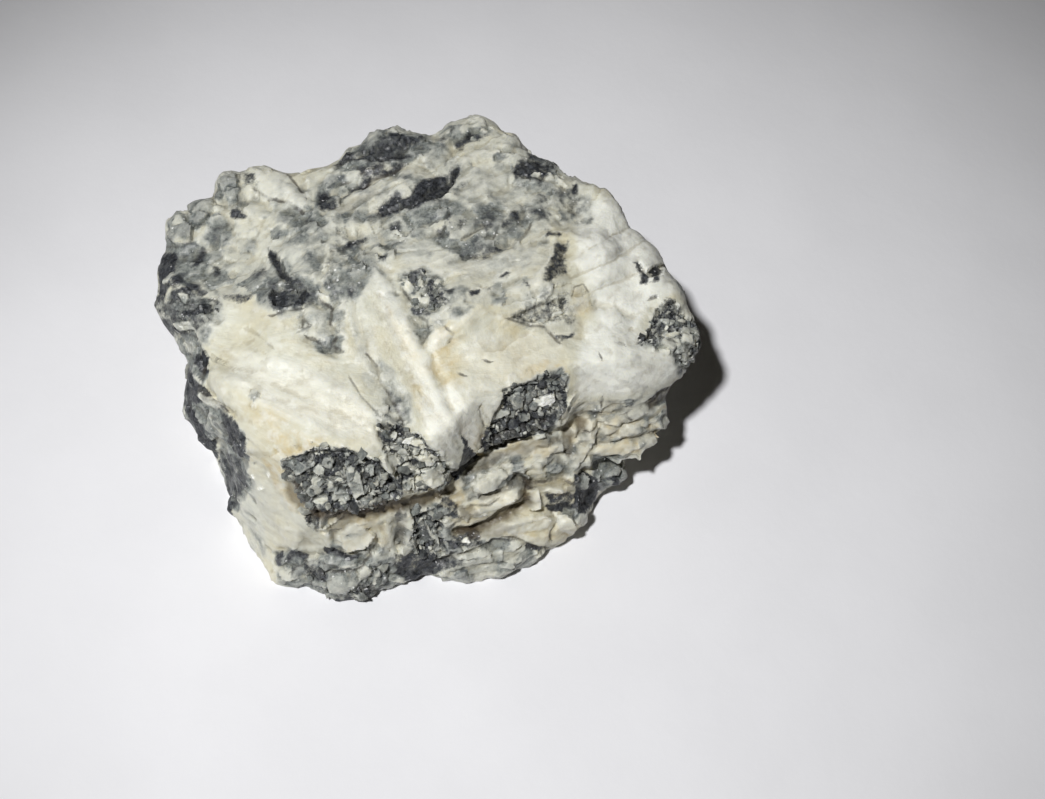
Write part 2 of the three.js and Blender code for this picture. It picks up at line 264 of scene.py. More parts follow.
# share of black, softness of the edge, outline
BLACK = {
    "far left wedge": (1.0, 3, (160, 252), (176, 250), (177, 259), (175, 270), (170, 282), (162, 297),
     (155, 288), (156, 262)),
    "left streak": (1.0, 4, (203, 243), (207, 247), (204, 258), (197, 266), (192, 266), (194, 256)),
    "left zone": (0.22, 8, (176, 246), (200, 242), (214, 246), (226, 256), (222, 278), (196, 284),
     (176, 282), (172, 262)),
    "left grey dots": (0.35, 8, (208, 218), (228, 216), (230, 240), (212, 244)),
    "grey dots": (0.85, 3, (213, 262), (222, 264), (221, 276), (214, 278)),
    "left patch": (0.52, 7, (156, 300), (168, 290), (180, 283), (195, 281), (205, 288), (222, 296),
     (222, 308), (212, 318), (204, 330), (184, 338), (168, 328), (158, 312)),
    "left arc": (0.92, 5, (164, 300), (172, 289), (184, 282), (196, 280), (207, 289), (203, 295),
     (194, 288), (184, 290), (174, 298), (168, 305)),
    "left arc low": (0.95, 5, (163, 305), (180, 309), (192, 305), (200, 298), (212, 300), (215, 307),
     (204, 312), (188, 315), (170, 313)),
    "left patch grit": (0.5, 4, (208, 299), (219, 300), (222, 310), (212, 316), (206, 310)),
    "left strip": (0.8, 5, (165, 312), (175, 312), (178, 322), (184, 334), (176, 335), (168, 328)),
    "left blotch": (0.75, 4, (189, 316), (198, 316), (201, 326), (196, 334), (190, 326)),
    "speckle row": (0.62, 3, (222, 291), (236, 292), (252, 291), (254, 297), (240, 302), (226, 299)),
    "left specks": (0.62, 5, (249, 268), (265, 265), (267, 276), (253, 277)),
    "slant wedge": (1.0, 4, (268, 246), (276, 250), (280, 262), (291, 272), (294, 282), (284, 281),
     (276, 271), (269, 260)),
    "black twin left": (1.0, 3, (273, 286), (283, 281), (288, 292), (291, 304), (282, 309), (272, 302),
     (269, 294)),
    "black twin right": (1.0, 3, (305, 281), (309, 290), (315, 293), (304, 305), (292, 309), (293, 295)),
    "black twin veil": (0.7, 6, (266, 282), (284, 272), (300, 276), (318, 286), (318, 300), (300, 310),
     (272, 308)),
    "ridge spot": (0.75, 5, (243, 170), (256, 169), (260, 177), (258, 185), (248, 185), (242, 180)),
    "ridge plate side": (0.5, 3, (234, 173), (238, 171), (239, 187), (236, 199), (233, 189)),
    "ring spot": (1.0, 3, (229, 206), (236, 205), (242, 209), (247, 215), (240, 219), (230, 214)),
    "rear spot": (0.85, 6, (316, 190), (328, 189), (332, 197), (340, 198), (333, 207), (319, 209)),
    "back wedge": (0.74, 3, (333, 166), (345, 152), (362, 144), (375, 135), (385, 129), (397, 129),
     (412, 132), (427, 136), (421, 142), (408, 147), (415, 153), (405, 158), (390, 158), (378, 161),
     (365, 160), (345, 164)),
    "back wedge left": (1.0, 2, (336, 163), (346, 151), (354, 149), (352, 159), (344, 163)),
    "back wedge top": (1.0, 2, (388, 131), (400, 129), (424, 136), (416, 142), (398, 144), (392, 138)),
    "back wedge low": (1.0, 2, (376, 155), (390, 147), (402, 149), (410, 154), (400, 159), (382, 160)),
    "lens": (1.0, 3, (402, 208), (400, 198), (412, 189), (424, 177), (438, 174), (448, 175), (458, 165),
     (461, 171), (453, 182), (450, 189), (438, 197), (420, 205)),
    "lens end": (0.95, 5, (376, 206), (395, 192), (406, 196), (400, 211), (380, 216)),
    "lens tail": (0.45, 6, (354, 217), (372, 209), (384, 207), (392, 214), (372, 223), (356, 223)),
    "lens veil": (0.45, 6, (420, 196), (448, 190), (462, 176), (470, 180), (458, 198), (430, 204)),
    "rear specks": (0.5, 6, (332, 224), (346, 222), (350, 238), (336, 243)),
    "middle spot": (0.4, 5, (389, 235), (400, 235), (403, 242), (392, 244)),
    "middle spot low": (1.0, 4, (377, 251), (387, 251), (387, 259), (379, 259)),
    "granular zone": (0.34, 8, (328, 246), (338, 238), (372, 244), (378, 262), (360, 290), (345, 306),
     (327, 304), (323, 282)),
    "rhomb nest": (0.48, 5, (402, 270), (420, 266), (440, 278), (450, 296), (444, 308), (424, 312),
     (410, 304), (404, 288)),
    "rhomb nest blob": (1.0, 3, (427, 277), (434, 277), (437, 287), (445, 291), (444, 302), (432, 302),
     (427, 292)),
    "rhomb nest sill": (0.85, 3, (408, 304), (420, 307), (434, 307), (430, 314), (412, 311)),
    "crown band": (0.95, 4, (455, 146), (462, 137), (471, 129), (477, 132), (485, 134), (495, 130),
     (488, 137), (474, 141), (462, 146)),
    "crown left": (0.5, 6, (438, 136), (447, 129), (451, 136), (446, 146), (438, 146)),
    "crown spot": (0.7, 3, (448, 125), (455, 123), (455, 131), (449, 131)),
    "corner patch": (0.86, 4, (512, 171), (518, 163), (528, 158), (540, 157), (550, 159), (557, 165),
     (551, 171), (547, 177), (541, 185), (534, 181), (525, 177), (516, 181)),
    "corner rim": (0.75, 3, (524, 156), (530, 150), (538, 149), (542, 155), (536, 159), (528, 159)),
    "corner rim right": (0.5, 3, (547, 157), (557, 160), (562, 169), (556, 169), (550, 163)),
    "shoulder line": (0.6, 4, (529, 196), (540, 191), (552, 192), (556, 198), (540, 203), (531, 203)),
    "right speckles": (0.36, 6, (545, 184), (560, 182), (580, 184), (592, 202), (594, 220), (580, 222),
     (562, 212), (548, 202)),
    "right speck": (1.0, 2, (572, 180), (579, 180), (579, 192), (573, 192)),
    "grey band one": (0.34, 7, (434, 235), (444, 218), (449, 209), (462, 208), (475, 206), (485, 201),
     (495, 206), (498, 220), (494, 231), (482, 228), (467, 231), (452, 238), (442, 239)),
    "band one streak": (0.72, 4, (448, 209), (456, 211), (449, 224), (441, 234), (434, 231), (443, 221)),
    "band one heart": (0.6, 4, (481, 212), (493, 204), (497, 217), (494, 230), (484, 232), (478, 225)),
    "band one spots": (0.78, 4, (461, 218), (468, 218), (469, 225), (460, 231), (453, 230), (455, 225)),
    "grey band two": (0.36, 6, (508, 207), (530, 197), (545, 193), (562, 190), (562, 201), (550, 207),
     (548, 216), (535, 213), (525, 221), (514, 223), (507, 215)),
    "grey band link": (0.78, 3, (499, 222), (510, 218), (513, 224), (502, 229)),
    "band two spots": (0.85, 4, (508, 212), (520, 209), (523, 218), (512, 223)),
    "band two grey": (0.62, 5, (530, 208), (544, 205), (555, 212), (550, 220), (536, 219)),
    "grey band three": (0.3, 5, (462, 241), (475, 230), (490, 227), (502, 221), (520, 219), (533, 217),
     (529, 226), (516, 239), (506, 246), (495, 253), (480, 257), (465, 255), (457, 250)),
    "grey band three sill": (0.62, 4, (462, 252), (474, 249), (480, 245), (490, 244), (504, 242),
     (505, 249), (492, 254), (480, 258), (466, 257)),
    "small marks": (1.0, 3, (501, 276), (508, 268), (513, 269), (506, 277)),
    "small marks right": (0.9, 2, (523, 277), (529, 281), (531, 287), (526, 287)),
    "small marks left": (1.0, 3, (445, 288), (454, 288), (453, 294), (446, 293)),
    "small marks middle": (1.0, 3, (470, 288), (480, 287), (478, 294), (469, 293)),
    "small marks far": (0.75, 3, (486, 286), (494, 286), (493, 291), (486, 291)),
    "blade top": (0.9, 4, (546, 227), (552, 227), (562, 229), (560, 235), (552, 235), (547, 233)),
    "olive blade": (0.74, 2, (556, 242), (567, 240), (575, 230), (568, 245), (567, 260), (568, 270),
     (560, 274), (550, 281), (543, 282), (547, 265)),
    "patch over cream": (0.62, 6, (508, 317), (518, 308), (530, 302), (545, 299), (552, 293), (566, 291),
     (573, 299), (562, 309), (571, 313), (563, 319), (552, 323), (544, 326), (530, 323), (518, 322)),
    "patch over cream core": (0.62, 4, (511, 316), (524, 306), (538, 300), (551, 296), (557, 301),
     (546, 308), (532, 314), (522, 321)),
    "patch over cream veil": (0.32, 7, (496, 312), (520, 300), (548, 288), (572, 284), (580, 300),
     (578, 322), (548, 334), (520, 328)),
    "patch tail": (0.9, 4, (553, 330), (566, 333), (576, 328), (575, 334), (562, 340), (556, 337)),
    "right vee": (1.0, 2, (632, 262), (639, 265), (648, 273), (648, 285), (640, 285), (640, 275)),
    "right vee chips": (0.9, 2, (649, 295), (656, 295), (656, 298), (650, 298)),
    "right patch": (0.8, 5, (658, 308), (664, 299), (673, 301), (682, 314), (694, 324), (700, 340),
     (690, 350), (674, 338), (656, 345), (637, 342), (648, 326)),
    "right patch core": (0.98, 3, (661, 302), (667, 299), (673, 304), (677, 312), (686, 319), (688, 326),
     (680, 327), (666, 329), (654, 336), (642, 345), (637, 338), (650, 333), (656, 325), (656, 318),
     (660, 311)),
    "right patch corner": (1.0, 3, (686, 346), (694, 346), (694, 354), (687, 355)),
    "right rim": (0.8, 3, (690, 318), (700, 326), (702, 340), (698, 358), (690, 368), (684, 372),
     (690, 356), (694, 340)),
    "granular corner": (0.36, 7, (664, 322), (694, 326), (698, 350), (684, 370), (668, 352), (650, 350)),
    "pocket one": (0.88, 3, (281, 461), (290, 456), (308, 451), (316, 445), (325, 443), (340, 446),
     (352, 448), (365, 454), (380, 458), (386, 469), (393, 477), (402, 481), (404, 500), (385, 508),
     (360, 513), (335, 515), (320, 512), (306, 508), (298, 500), (291, 485), (283, 472)),
    # painted shadow: full black along the pocket's lower edge, under the overhang
    "pocket one floor": (1.0, 2, (302, 506), (320, 511), (345, 513), (372, 510), (390, 504), (388, 510),
     (360, 516), (335, 518), (314, 517)),
    "pocket two": (0.95, 4, (378, 421), (389, 423), (400, 424), (408, 429), (420, 436), (431, 449),
     (420, 450), (404, 446), (392, 448), (384, 440), (379, 430)),
    "pocket two low": (0.5, 5, (386, 444), (404, 440), (420, 442), (432, 450), (446, 457), (456, 470),
     (449, 481), (440, 486), (424, 491), (410, 492), (398, 486), (388, 470), (384, 456)),
    "pocket two links": (0.85, 3, (405, 459), (409, 459), (410, 472), (417, 478), (405, 488), (397, 484),
     (403, 472)),
    "seam above pocket": (0.42, 4, (390, 386), (402, 396), (408, 410), (404, 424), (392, 422), (388, 404)),
    "seam left fringe": (0.4, 5, (370, 406), (388, 410), (392, 424), (376, 424)),
    "pocket three": (0.88, 4, (503, 391), (507, 385), (523, 382), (539, 377), (546, 371), (562, 372),
     (567, 380), (571, 391), (571, 403), (566, 412), (559, 418), (554, 426), (543, 430), (524, 437),
     (512, 439), (500, 445), (485, 452), (480, 450), (485, 440), (488, 432), (485, 424), (496, 424),
     (504, 420)),
    "pocket three arc": (1.0, 2, (560, 388), (566, 385), (571, 394), (571, 405), (565, 413), (561, 410),
     (564, 400)),
    "pocket three foot": (1.0, 3, (486, 430), (500, 427), (520, 430), (540, 426), (552, 418), (557, 426),
     (532, 436), (508, 443), (484, 452), (482, 440)),
    # painted shadow: full black in the deep shade below the front tip and along its sill
    "front tip": (1.0, 2, (461, 432), (466, 439), (470, 447), (476, 453), (481, 455), (471, 465),
     (463, 474), (456, 480), (455, 473), (460, 463), (464, 451), (463, 441)),
    "tip sill": (1.0, 2, (455, 476), (448, 485), (434, 489), (416, 494), (414, 490), (432, 485),
     (446, 481)),
    "side slab one": (0.85, 2, (189, 366), (183, 374), (182, 390), (187, 402), (199, 403), (206, 396),
     (201, 386), (192, 376)),
    "side slab low": (0.95, 2, (185, 399), (185, 411), (191, 428), (198, 444), (208, 454), (218, 459),
     (218, 449), (215, 441), (206, 431), (196, 414), (188, 401)),
    "side slab right": (0.8, 3, (217, 410), (227, 416), (238, 423), (242, 434), (248, 444), (246, 455),
     (241, 458), (232, 452), (227, 440), (226, 429), (222, 419)),
    "side slab foot": (0.7, 3, (220, 450), (231, 453), (241, 461), (246, 478), (245, 488), (234, 493),
     (229, 506), (226, 502), (223, 475), (219, 459)),
    "side square": (0.98, 2, (192, 357), (202, 349), (210, 356), (204, 361), (205, 368), (199, 372),
     (195, 366)),
    "side edge": (0.9, 4, (160, 318), (170, 322), (178, 336), (170, 338), (164, 328)),
    "side edge low": (0.5, 4, (178, 336), (190, 340), (198, 350), (192, 356), (184, 346)),
    "low left rim": (1.0, 3, (222, 494), (231, 494), (231, 510), (238, 528), (230, 528), (222, 512)),
    "zigzag": (0.95, 3, (276, 551), (282, 551), (282, 565), (276, 565)),
    "zigzag right": (0.9, 3, (283, 560), (289, 551), (300, 553), (308, 556), (304, 560), (294, 557),
     (286, 564)),
    "mottled toe": (0.4, 6, (300, 556), (330, 562), (362, 564), (394, 562), (388, 580), (372, 600),
     (344, 603), (320, 596), (302, 582)),
    "mottled toe core": (0.95, 4, (303, 563), (314, 564), (328, 572), (327, 583), (316, 581), (306, 572)),
    "toe right spots": (0.9, 4, (352, 581), (362, 583), (374, 583), (381, 590), (372, 599), (362, 598),
     (360, 590)),
    "mottled toe sill": (0.9, 3, (312, 590), (330, 598), (352, 598), (370, 596), (368, 604), (334, 606),
     (318, 598)),
    "toe line": (0.95, 3, (322, 546), (336, 551), (352, 555), (362, 556), (360, 561), (340, 558),
     (322, 553)),
    # dark grains below the pocket, made darker still by painted shadow under the overhang
    "under pocket": (1.0, 4, (303, 512), (312, 514), (322, 516), (324, 524), (318, 530), (308, 526)),
    "wall gap left": (0.3, 4, (391, 514), (400, 514), (402, 530), (404, 548), (396, 550), (392, 532)),
    "nest": (0.75, 4, (412, 508), (430, 504), (446, 512), (444, 530), (448, 552), (436, 562), (416, 556),
     (410, 540), (416, 526)),
    "nest roof": (1.0, 2, (416, 526), (423, 515), (429, 511), (437, 516), (444, 528), (439, 526),
     (429, 517), (421, 526)),
    "nest wedge": (0.95, 4, (430, 505), (444, 506), (456, 511), (463, 518), (452, 518), (440, 513)),
    "nest heart": (1.0, 2, (418, 536), (426, 532), (436, 536), (440, 548), (430, 554), (420, 548)),
    "foot spot": (0.8, 6, (400, 580), (404, 568), (416, 562), (434, 563), (432, 574), (416, 582)),
    "glint surround": (0.75, 3, (459, 530), (473, 526), (485, 530), (483, 546), (469, 548), (459, 542)),
    "ledge line": (0.7, 3, (439, 494), (451, 496), (463, 510), (457, 514), (447, 506)),
    "shaded block": (0.95, 3, (576, 474), (584, 470), (597, 476), (601, 490), (597, 502), (590, 510),
     (582, 514), (576, 508), (574, 496), (577, 486)),
    "shaded block core": (1.0, 3, (575, 493), (589, 491), (591, 501), (583, 509), (575, 505)),
    "lump spot": (0.95, 2, (611, 475), (618, 475), (620, 482), (613, 484)),
    "ledge spots": (0.8, 3, (546, 504), (558, 502), (576, 500), (576, 506), (556, 510), (548, 511)),
    "slope specks": (0.6, 6, (302, 212), (316, 212), (316, 221), (304, 220)),
    "middle marks": (0.85, 5, (337, 245), (350, 238), (366, 233), (368, 240), (352, 246), (342, 250)),
    "middle marks right": (1.0, 4, (387, 224), (400, 221), (402, 230), (391, 233)),
    "granular streak": (0.6, 4, (347, 278), (353, 278), (354, 297), (348, 295)),
    "granular fleck": (0.35, 5, (355, 257), (368, 255), (368, 266), (357, 269)),
    "band start": (0.75, 5, (436, 224), (445, 224), (445, 236), (436, 236)),
    "lens head": (0.4, 3, (449, 163), (459, 162), (460, 173), (451, 173)),
    "shoulder chips": (1.0, 3, (571, 182), (579, 180), (579, 190), (573, 190)),
    # painted shade: black under the right rim, where the rim shades the face below
    "under rim": (0.85, 3, (646, 399), (656, 388), (670, 380), (688, 373), (684, 382), (668, 391),
     (652, 404)),
    "tooth crystals": (1.0, 3, (623, 396), (631, 395), (632, 404), (625, 408)),
    "bed spots": (1.0, 3, (545, 505), (553, 504), (566, 505), (564, 510), (550, 511)),
    "bed shadow": (0.65, 4, (520, 479), (530, 480), (542, 484), (538, 488), (526, 485)),
    "bed rim": (0.75, 4, (522, 546), (538, 546), (552, 552), (544, 554), (528, 551)),
    "left patch brow": (0.75, 4, (166, 272), (182, 270), (187, 279), (173, 287), (163, 283)),
    "side foot low": (0.6, 3, (226, 487), (240, 488), (241, 500), (232, 508), (226, 500)),
    "right vee branch": (1.0, 2, (648, 272), (654, 266), (659, 266), (660, 274), (657, 283), (652, 283),
     (653, 274), (649, 278)),
    "wedge seam": (1.0, 4, (384, 166), (402, 161), (392, 169), (374, 176), (362, 186), (350, 194),
     (340, 200), (350, 187), (366, 176)),
    "wedge foot": (0.75, 4, (354, 166), (372, 160), (394, 160), (414, 155), (408, 164), (386, 171),
     (364, 176)),
    "foot veil": (0.85, 6, (396, 554), (420, 550), (440, 554), (446, 566), (430, 578), (410, 585),
     (398, 582)),
    "left nose": (0.75, 5, (151, 292), (164, 290), (170, 306), (160, 317), (151, 306)),
    "beside nest": (0.8, 5, (444, 534), (460, 534), (462, 547), (448, 551)),
    "nest mouth": (1.0, 3, (413, 514), (426, 512), (428, 526), (415, 528)),
    "nest foot": (0.8, 4, (438, 552), (462, 551), (466, 564), (444, 570)),
    "wall hollow": (0.7, 4, (546, 493), (562, 489), (578, 494), (570, 503), (550, 503)),
    "lump end": (0.5, 4, (598, 469), (611, 471), (613, 480), (600, 482)),
    "under granular spot": (0.4, 4, (328, 318), (340, 318), (345, 332), (334, 336)),
}

# how many pale grains lie in each dark patch
CHUNKY = {
    "pocket one": 0.55, "pocket two": 0.8, "pocket two low": 0.7, "pocket three": 0.6, "rhomb nest": 0.5,
    "right patch": 0.6, "granular corner": 0.6, "granular zone": 0.3, "nest": 0.5, "mottled toe": 0.4,
    "under pocket": 0.6, "patch over cream": 0.3, "left patch": 0.25, "left patch grit": 0.5,
}

# single crystals that stand out: middle, half length and half width, turn in degrees, how pale
CHUNKS = {
    "pocket one": ((295, 468, 12, 7, 20, 0.40), (303, 487, 6, 3, 70, 0.28), (298, 486, 4.5, 1.8, 65, 0.92),
     (328, 464, 7.5, 7, 0, 0.74), (329, 464, 2, 2, 0, 0.40), (317, 473, 7, 5.5, -20, 0.78),
     (311, 466, 3.5, 3.5, 0, 0.60), (315, 484, 5, 5, 0, 0.74), (314, 493, 8.3, 7, 0, 0.62),
     (373, 473, 6, 5, 0, 0.45), (332, 493, 7, 3.5, 0, 0.44), (341, 499, 9, 5, 0, 0.66),
     (344, 505, 5, 3.5, 0, 0.82), (357, 486, 13, 8.5, 75, 0.70), (352, 472, 5, 3, 0, 0.78),
     (331, 487, 5, 3.5, 80, 0.72), (340, 483, 5.5, 1.8, -15, 0.88), (321, 504, 10, 2.4, -5, 0.80),
     (378, 486, 4.5, 4.5, 0, 0.88), (385, 483, 6, 4, 80, 0.66), (372, 459, 5, 3.5, 0, 0.72),
     (363, 464, 5, 3, 20, 0.50), (333, 448, 4, 2.5, 30, 0.60), (326, 446, 2.4, 2.4, 0, 1.1),
     (321, 452, 2.5, 2.5, 0, 0.86), (314, 454, 3, 2, 60, 0.80), (348, 456, 4, 2.6, 0, 0.66),
     (344, 445, 5.5, 2.4, 15, 0.86), (381, 495, 4, 3, 0, 0.60), (372, 495, 3, 1.6, 80, 0.90),
     (371, 504, 9, 2.4, -10, 0.64), (364, 475, 2.5, 1.8, 0, 0.85), (330, 517, 5, 2.5, 10, 0.64)),
    "pocket two": ((396, 432, 4, 3.2, -20, 0.88), (402, 438, 3.6, 3.4, 0, 0.62),
     (399, 442, 1.9, 1.9, 0, 0.95), (384, 428, 1.8, 1.8, 0, 1.0), (411, 441, 5.5, 5.2, 0, 1.1),
     (418, 443, 6.5, 4.6, 20, 0.88), (423, 448, 4, 3, 30, 0.86), (399, 448, 6, 4.4, 0, 0.60),
     (406, 454, 6, 4.4, 30, 0.70), (417, 454, 4, 3.6, 0, 0.70), (424, 454, 3, 3.2, 0, 0.88),
     (428, 457, 2.5, 3, 0, 0.82), (392, 463, 10, 8, 70, 0.84), (396, 471, 5, 4, 0, 0.92),
     (410, 470, 7, 5, 0, 0.82), (427, 461, 8, 3.6, -10, 0.90), (438, 460, 7, 3, 25, 0.86),
     (435, 477, 14, 7.5, -18, 0.88), (445, 470, 6, 4.6, 0, 0.84), (409, 485, 6, 3.4, 0, 0.66),
     (417, 490, 4, 2, -10, 0.86), (456, 465, 5.5, 3.6, 60, 0.74), (447, 461, 3.6, 1.6, 70, 0.96),
     (418, 465, 2.8, 2.4, 0, 0.20), (427, 468, 4, 2.4, 10, 0.25), (411, 478, 3, 2.2, 0, 0.15),
     (424, 475, 2.5, 2, 0, 0.35), (432, 465, 7, 4, 0, 0.96), (400, 421, 4, 2.4, 80, 0.82),
     (405, 422, 4, 2, 80, 0.82), (440, 489, 4, 2, -15, 0.60)),
    "pocket three": ((504, 417, 11, 4, -18, 0.66), (520, 403, 9, 7, 80, 0.55), (522, 391, 6, 4, -10, 0.42),
     (508, 394, 2.6, 2.4, 0, 0.85), (508, 404, 8, 3.6, 80, 0.05), (506, 410, 2.2, 2, 0, 0.95),
     (543, 407, 6, 4.4, 0, 0.86), (553, 391, 5, 1.9, 50, 0.88), (558, 400, 5, 1.9, 80, 0.92),
     (555, 408, 4, 1.9, 110, 0.86), (543, 389, 3.6, 3.6, 0, 0.08), (537, 410, 4.4, 4, 0, 0.55),
     (520, 417, 2.2, 2, 0, 0.9), (527, 421, 6, 4, 0, 0.38), (543, 417, 5, 2.6, 80, 0.70),
     (538, 421, 5, 2.6, 80, 0.12), (500, 431, 2.2, 2, 0, 0.9), (552, 381, 2.2, 2, 0, 0.95),
     (552, 378, 7, 3, -15, 0.48), (535, 383, 7, 3, -10, 0.38), (516, 434, 7, 3, 0, 0.15),
     (552, 424, 5, 3, 60, 0.1), (569, 398, 8, 2.2, 80, 0.02), (551, 404, 9, 6.4, 0, 1.1),
     (538, 404, 2.2, 2.2, 0, 1.0), (545, 392, 3, 3, 0, 0.05)),
    "right patch": ((667, 321, 8, 3.6, 10, 0.52), (667, 327, 2.2, 2, 0, 1.0), (682, 320, 5, 2, 20, 0.88),
     (687, 335, 9, 8, 90, 0.62), (692, 343, 4, 2.6, 80, 0.95), (672, 334, 8, 3.6, -10, 0.76),
     (669, 343, 10, 5, 10, 0.80), (663, 352, 5, 3.6, 30, 0.82), (684, 352, 6, 4, 60, 0.74)),
    "rhomb nest": ((405, 279, 6.5, 3, -25, 0.80), (410, 286, 6.5, 5.5, 70, 0.90),
     (420.5, 281, 6, 3, 85, 0.84), (416, 295, 7, 5, 20, 0.86), (438, 281, 4, 4, 0, 0.84),
     (424, 300, 5, 4, 0, 0.76)),
    "nest": ((423, 508, 7, 5, -40, 0.72), (434, 511, 6.5, 5.5, 30, 0.66), (449, 523, 7.5, 4.6, 35, 0.74),
     (408, 519, 11, 6, 75, 0.78), (404, 523, 3, 3, 0, 0.98), (421, 524, 7, 2, -50, 0.84),
     (432, 534, 11, 2, 62, 0.84), (438, 540, 6, 2, 75, 0.62), (427, 538, 6, 7, 0, 0.25),
     (407, 550, 6, 5, 0, 0.70), (423, 550, 2.4, 2, 90, 0.92), (431, 550, 2.4, 2, 90, 0.95),
     (467, 540, 4, 3.4, 0, 1.05), (489, 541, 2.4, 2, 0, 0.95), (445, 555, 5, 3, -10, 0.66),
     (445, 511, 8, 3, 10, 0.45), (447, 536, 7, 4, 30, 0.55), (438, 518, 14, 2.6, 38, 0.86)),
    "rim plates": ((179, 229, 14, 13, 60, 0.64), (200, 208, 15, 11, -60, 0.64),
     (230, 186, 14, 10, 85, 0.62), (219, 206, 6, 4, -30, 0.84), (249, 189, 6, 5, -40, 0.86),
     (184, 240, 8, 3, -5, 0.78), (217, 219, 9, 7, 0, 0.44)),
    "left patch": ((182, 294, 6, 4, -30, 0.72), (184, 325, 8, 5.5, 0, 0.74), (188, 345, 8, 6, 70, 0.68),
     (206, 363, 4, 3, 0, 0.74), (194, 376, 9, 2.6, 65, 0.84), (203, 399, 9, 2.4, 50, 0.82),
     (216, 424, 14, 8, 60, 0.72), (168, 276, 10, 2.4, -50, 0.66)),
    "left flank": ((254, 394, 5, 6, 0, 0.72), (254, 404, 3.4, 2.6, 0, 1.0), (253, 475, 3.4, 1.8, 70, 1.1),
     (268, 475, 2.4, 1.8, 70, 1.05), (261, 487, 3, 2, 30, 1.1)),
    "beds": ((543, 440, 10, 6, -15, 0.62), (558, 443, 7, 3.6, -20, 0.84), (532, 470, 12, 6, -14, 0.74),
     (555, 468, 8, 6, 10, 0.36), (491, 479, 18, 9, -28, 0.78), (506, 486, 4, 3.6, 0, 0.88),
     (513, 496, 10, 5, -28, 0.90), (534, 500, 9, 7, -60, 0.88), (553, 489, 12, 4, 8, 0.90),
     (481, 512, 10, 4.6, -20, 0.82), (528, 523, 24, 9, -10, 0.86), (564, 522, 10, 8, 70, 0.84),
     (582, 518, 8, 6, -30, 0.84), (508, 545, 14, 6, 0, 0.56), (471, 552, 18, 6, -14, 0.68),
     (510, 560, 14, 7, -20, 0.60), (457, 576, 11, 3.6, -20, 0.66), (583, 482, 8, 6, 80, 0.34),
     (465, 513, 8, 5, 60, 0.86)),
    "teeth": ((584, 443, 26, 9, -62, 0.74), (612, 427, 12, 6, 5, 0.80), (630, 430, 12, 6, -5, 0.78),
     (616, 449, 20, 7, -10, 0.86), (648, 442, 10, 8, -60, 0.74), (662, 418, 11, 8, -60, 0.70),
     (662, 396, 10, 5, -50, 0.55), (597, 411, 8, 4, -30, 0.66), (628, 400, 5, 4, 80, 0.40),
     (608, 468, 14, 8, -20, 0.46), (630, 470, 10, 6, -20, 0.46)),
    "toe": ((288, 572, 11, 6, 5, 0.58), (339, 583, 13, 7.5, 5, 0.56), (363, 571, 9, 7, -20, 0.72),
     (349, 566, 8, 2.6, -15, 0.78), (377, 578, 8, 3, -58, 0.82), (398, 579, 10, 3.6, 0, 0.76),
     (332, 563, 7, 4, 0, 0.56), (324, 522, 6, 4, 80, 0.78), (337, 517, 7, 3.6, 5, 0.64),
     (355, 536, 16, 12, -10, 0.86), (331.5, 534, 5, 3, -45, 0.55)),
    "patches": ((560, 311, 6, 3, -20, 0.72), (543, 319, 5, 2.5, -10, 0.66), (536, 173, 5, 3, -10, 0.72),
     (465, 127, 6, 4, -30, 0.88), (485, 127, 5, 4, 30, 0.84), (474, 136, 3, 3, 0, 0.6)),
}

# brown shade deep under an edge
SHADES = {
    "under slab": (0.85, 5, (300, 509), (340, 512), (392, 504), (430, 493), (448, 487), (450, 493),
     (440, 500), (400, 513), (345, 522), (310, 519)),
    "pocket flank": (0.6, 5, (282, 476), (294, 482), (304, 506), (296, 512), (286, 498)),
    "under slab right": (0.5, 4, (470, 462), (484, 453), (520, 443), (560, 434), (569, 438), (545, 448),
     (505, 455), (478, 472), (466, 476)),
    "block gap": (0.35, 3, (396, 512), (406, 510), (408, 530), (404, 548), (396, 546), (400, 528)),
    "cleavage foot": (0.6, 3, (565, 426), (574, 430), (575, 444), (570, 458), (563, 448)),
    "under teeth": (0.08, 4, (606, 461), (624, 462), (652, 455), (654, 464), (628, 472), (608, 469)),
    "ledge gap": (0.75, 4, (522, 486), (535, 490), (532, 506), (512, 520), (490, 530), (456, 536),
     (454, 528), (484, 522), (504, 508), (518, 498)),
    "ledge gap high": (0.4, 3, (476, 492), (500, 486), (520, 478), (548, 482), (572, 478), (572, 484),
     (546, 489), (518, 486), (500, 494), (482, 499)),
    "right corner foot": (0.6, 4, (644, 400), (668, 382), (690, 372), (690, 378), (672, 390), (650, 408)),
    "block brow": (0.5, 3, (330, 527), (338, 520), (360, 520), (340, 530), (334, 542), (328, 542)),
    "foot of wall": (0.6, 5, (398, 596), (440, 586), (480, 585), (520, 575), (516, 582), (470, 592),
     (404, 604)),
    "slope gap": (0.3, 4, (336, 206), (352, 198), (380, 190), (380, 195), (352, 206), (340, 212)),
    "cleavage nook": (0.7, 4, (576, 418), (588, 420), (589, 430), (578, 433)),
    "ledge nook": (0.5, 4, (458, 506), (474, 504), (480, 514), (462, 520)),
    "ledge foot shade": (0.5, 5, (470, 527), (500, 521), (514, 528), (500, 537), (470, 539)),
}

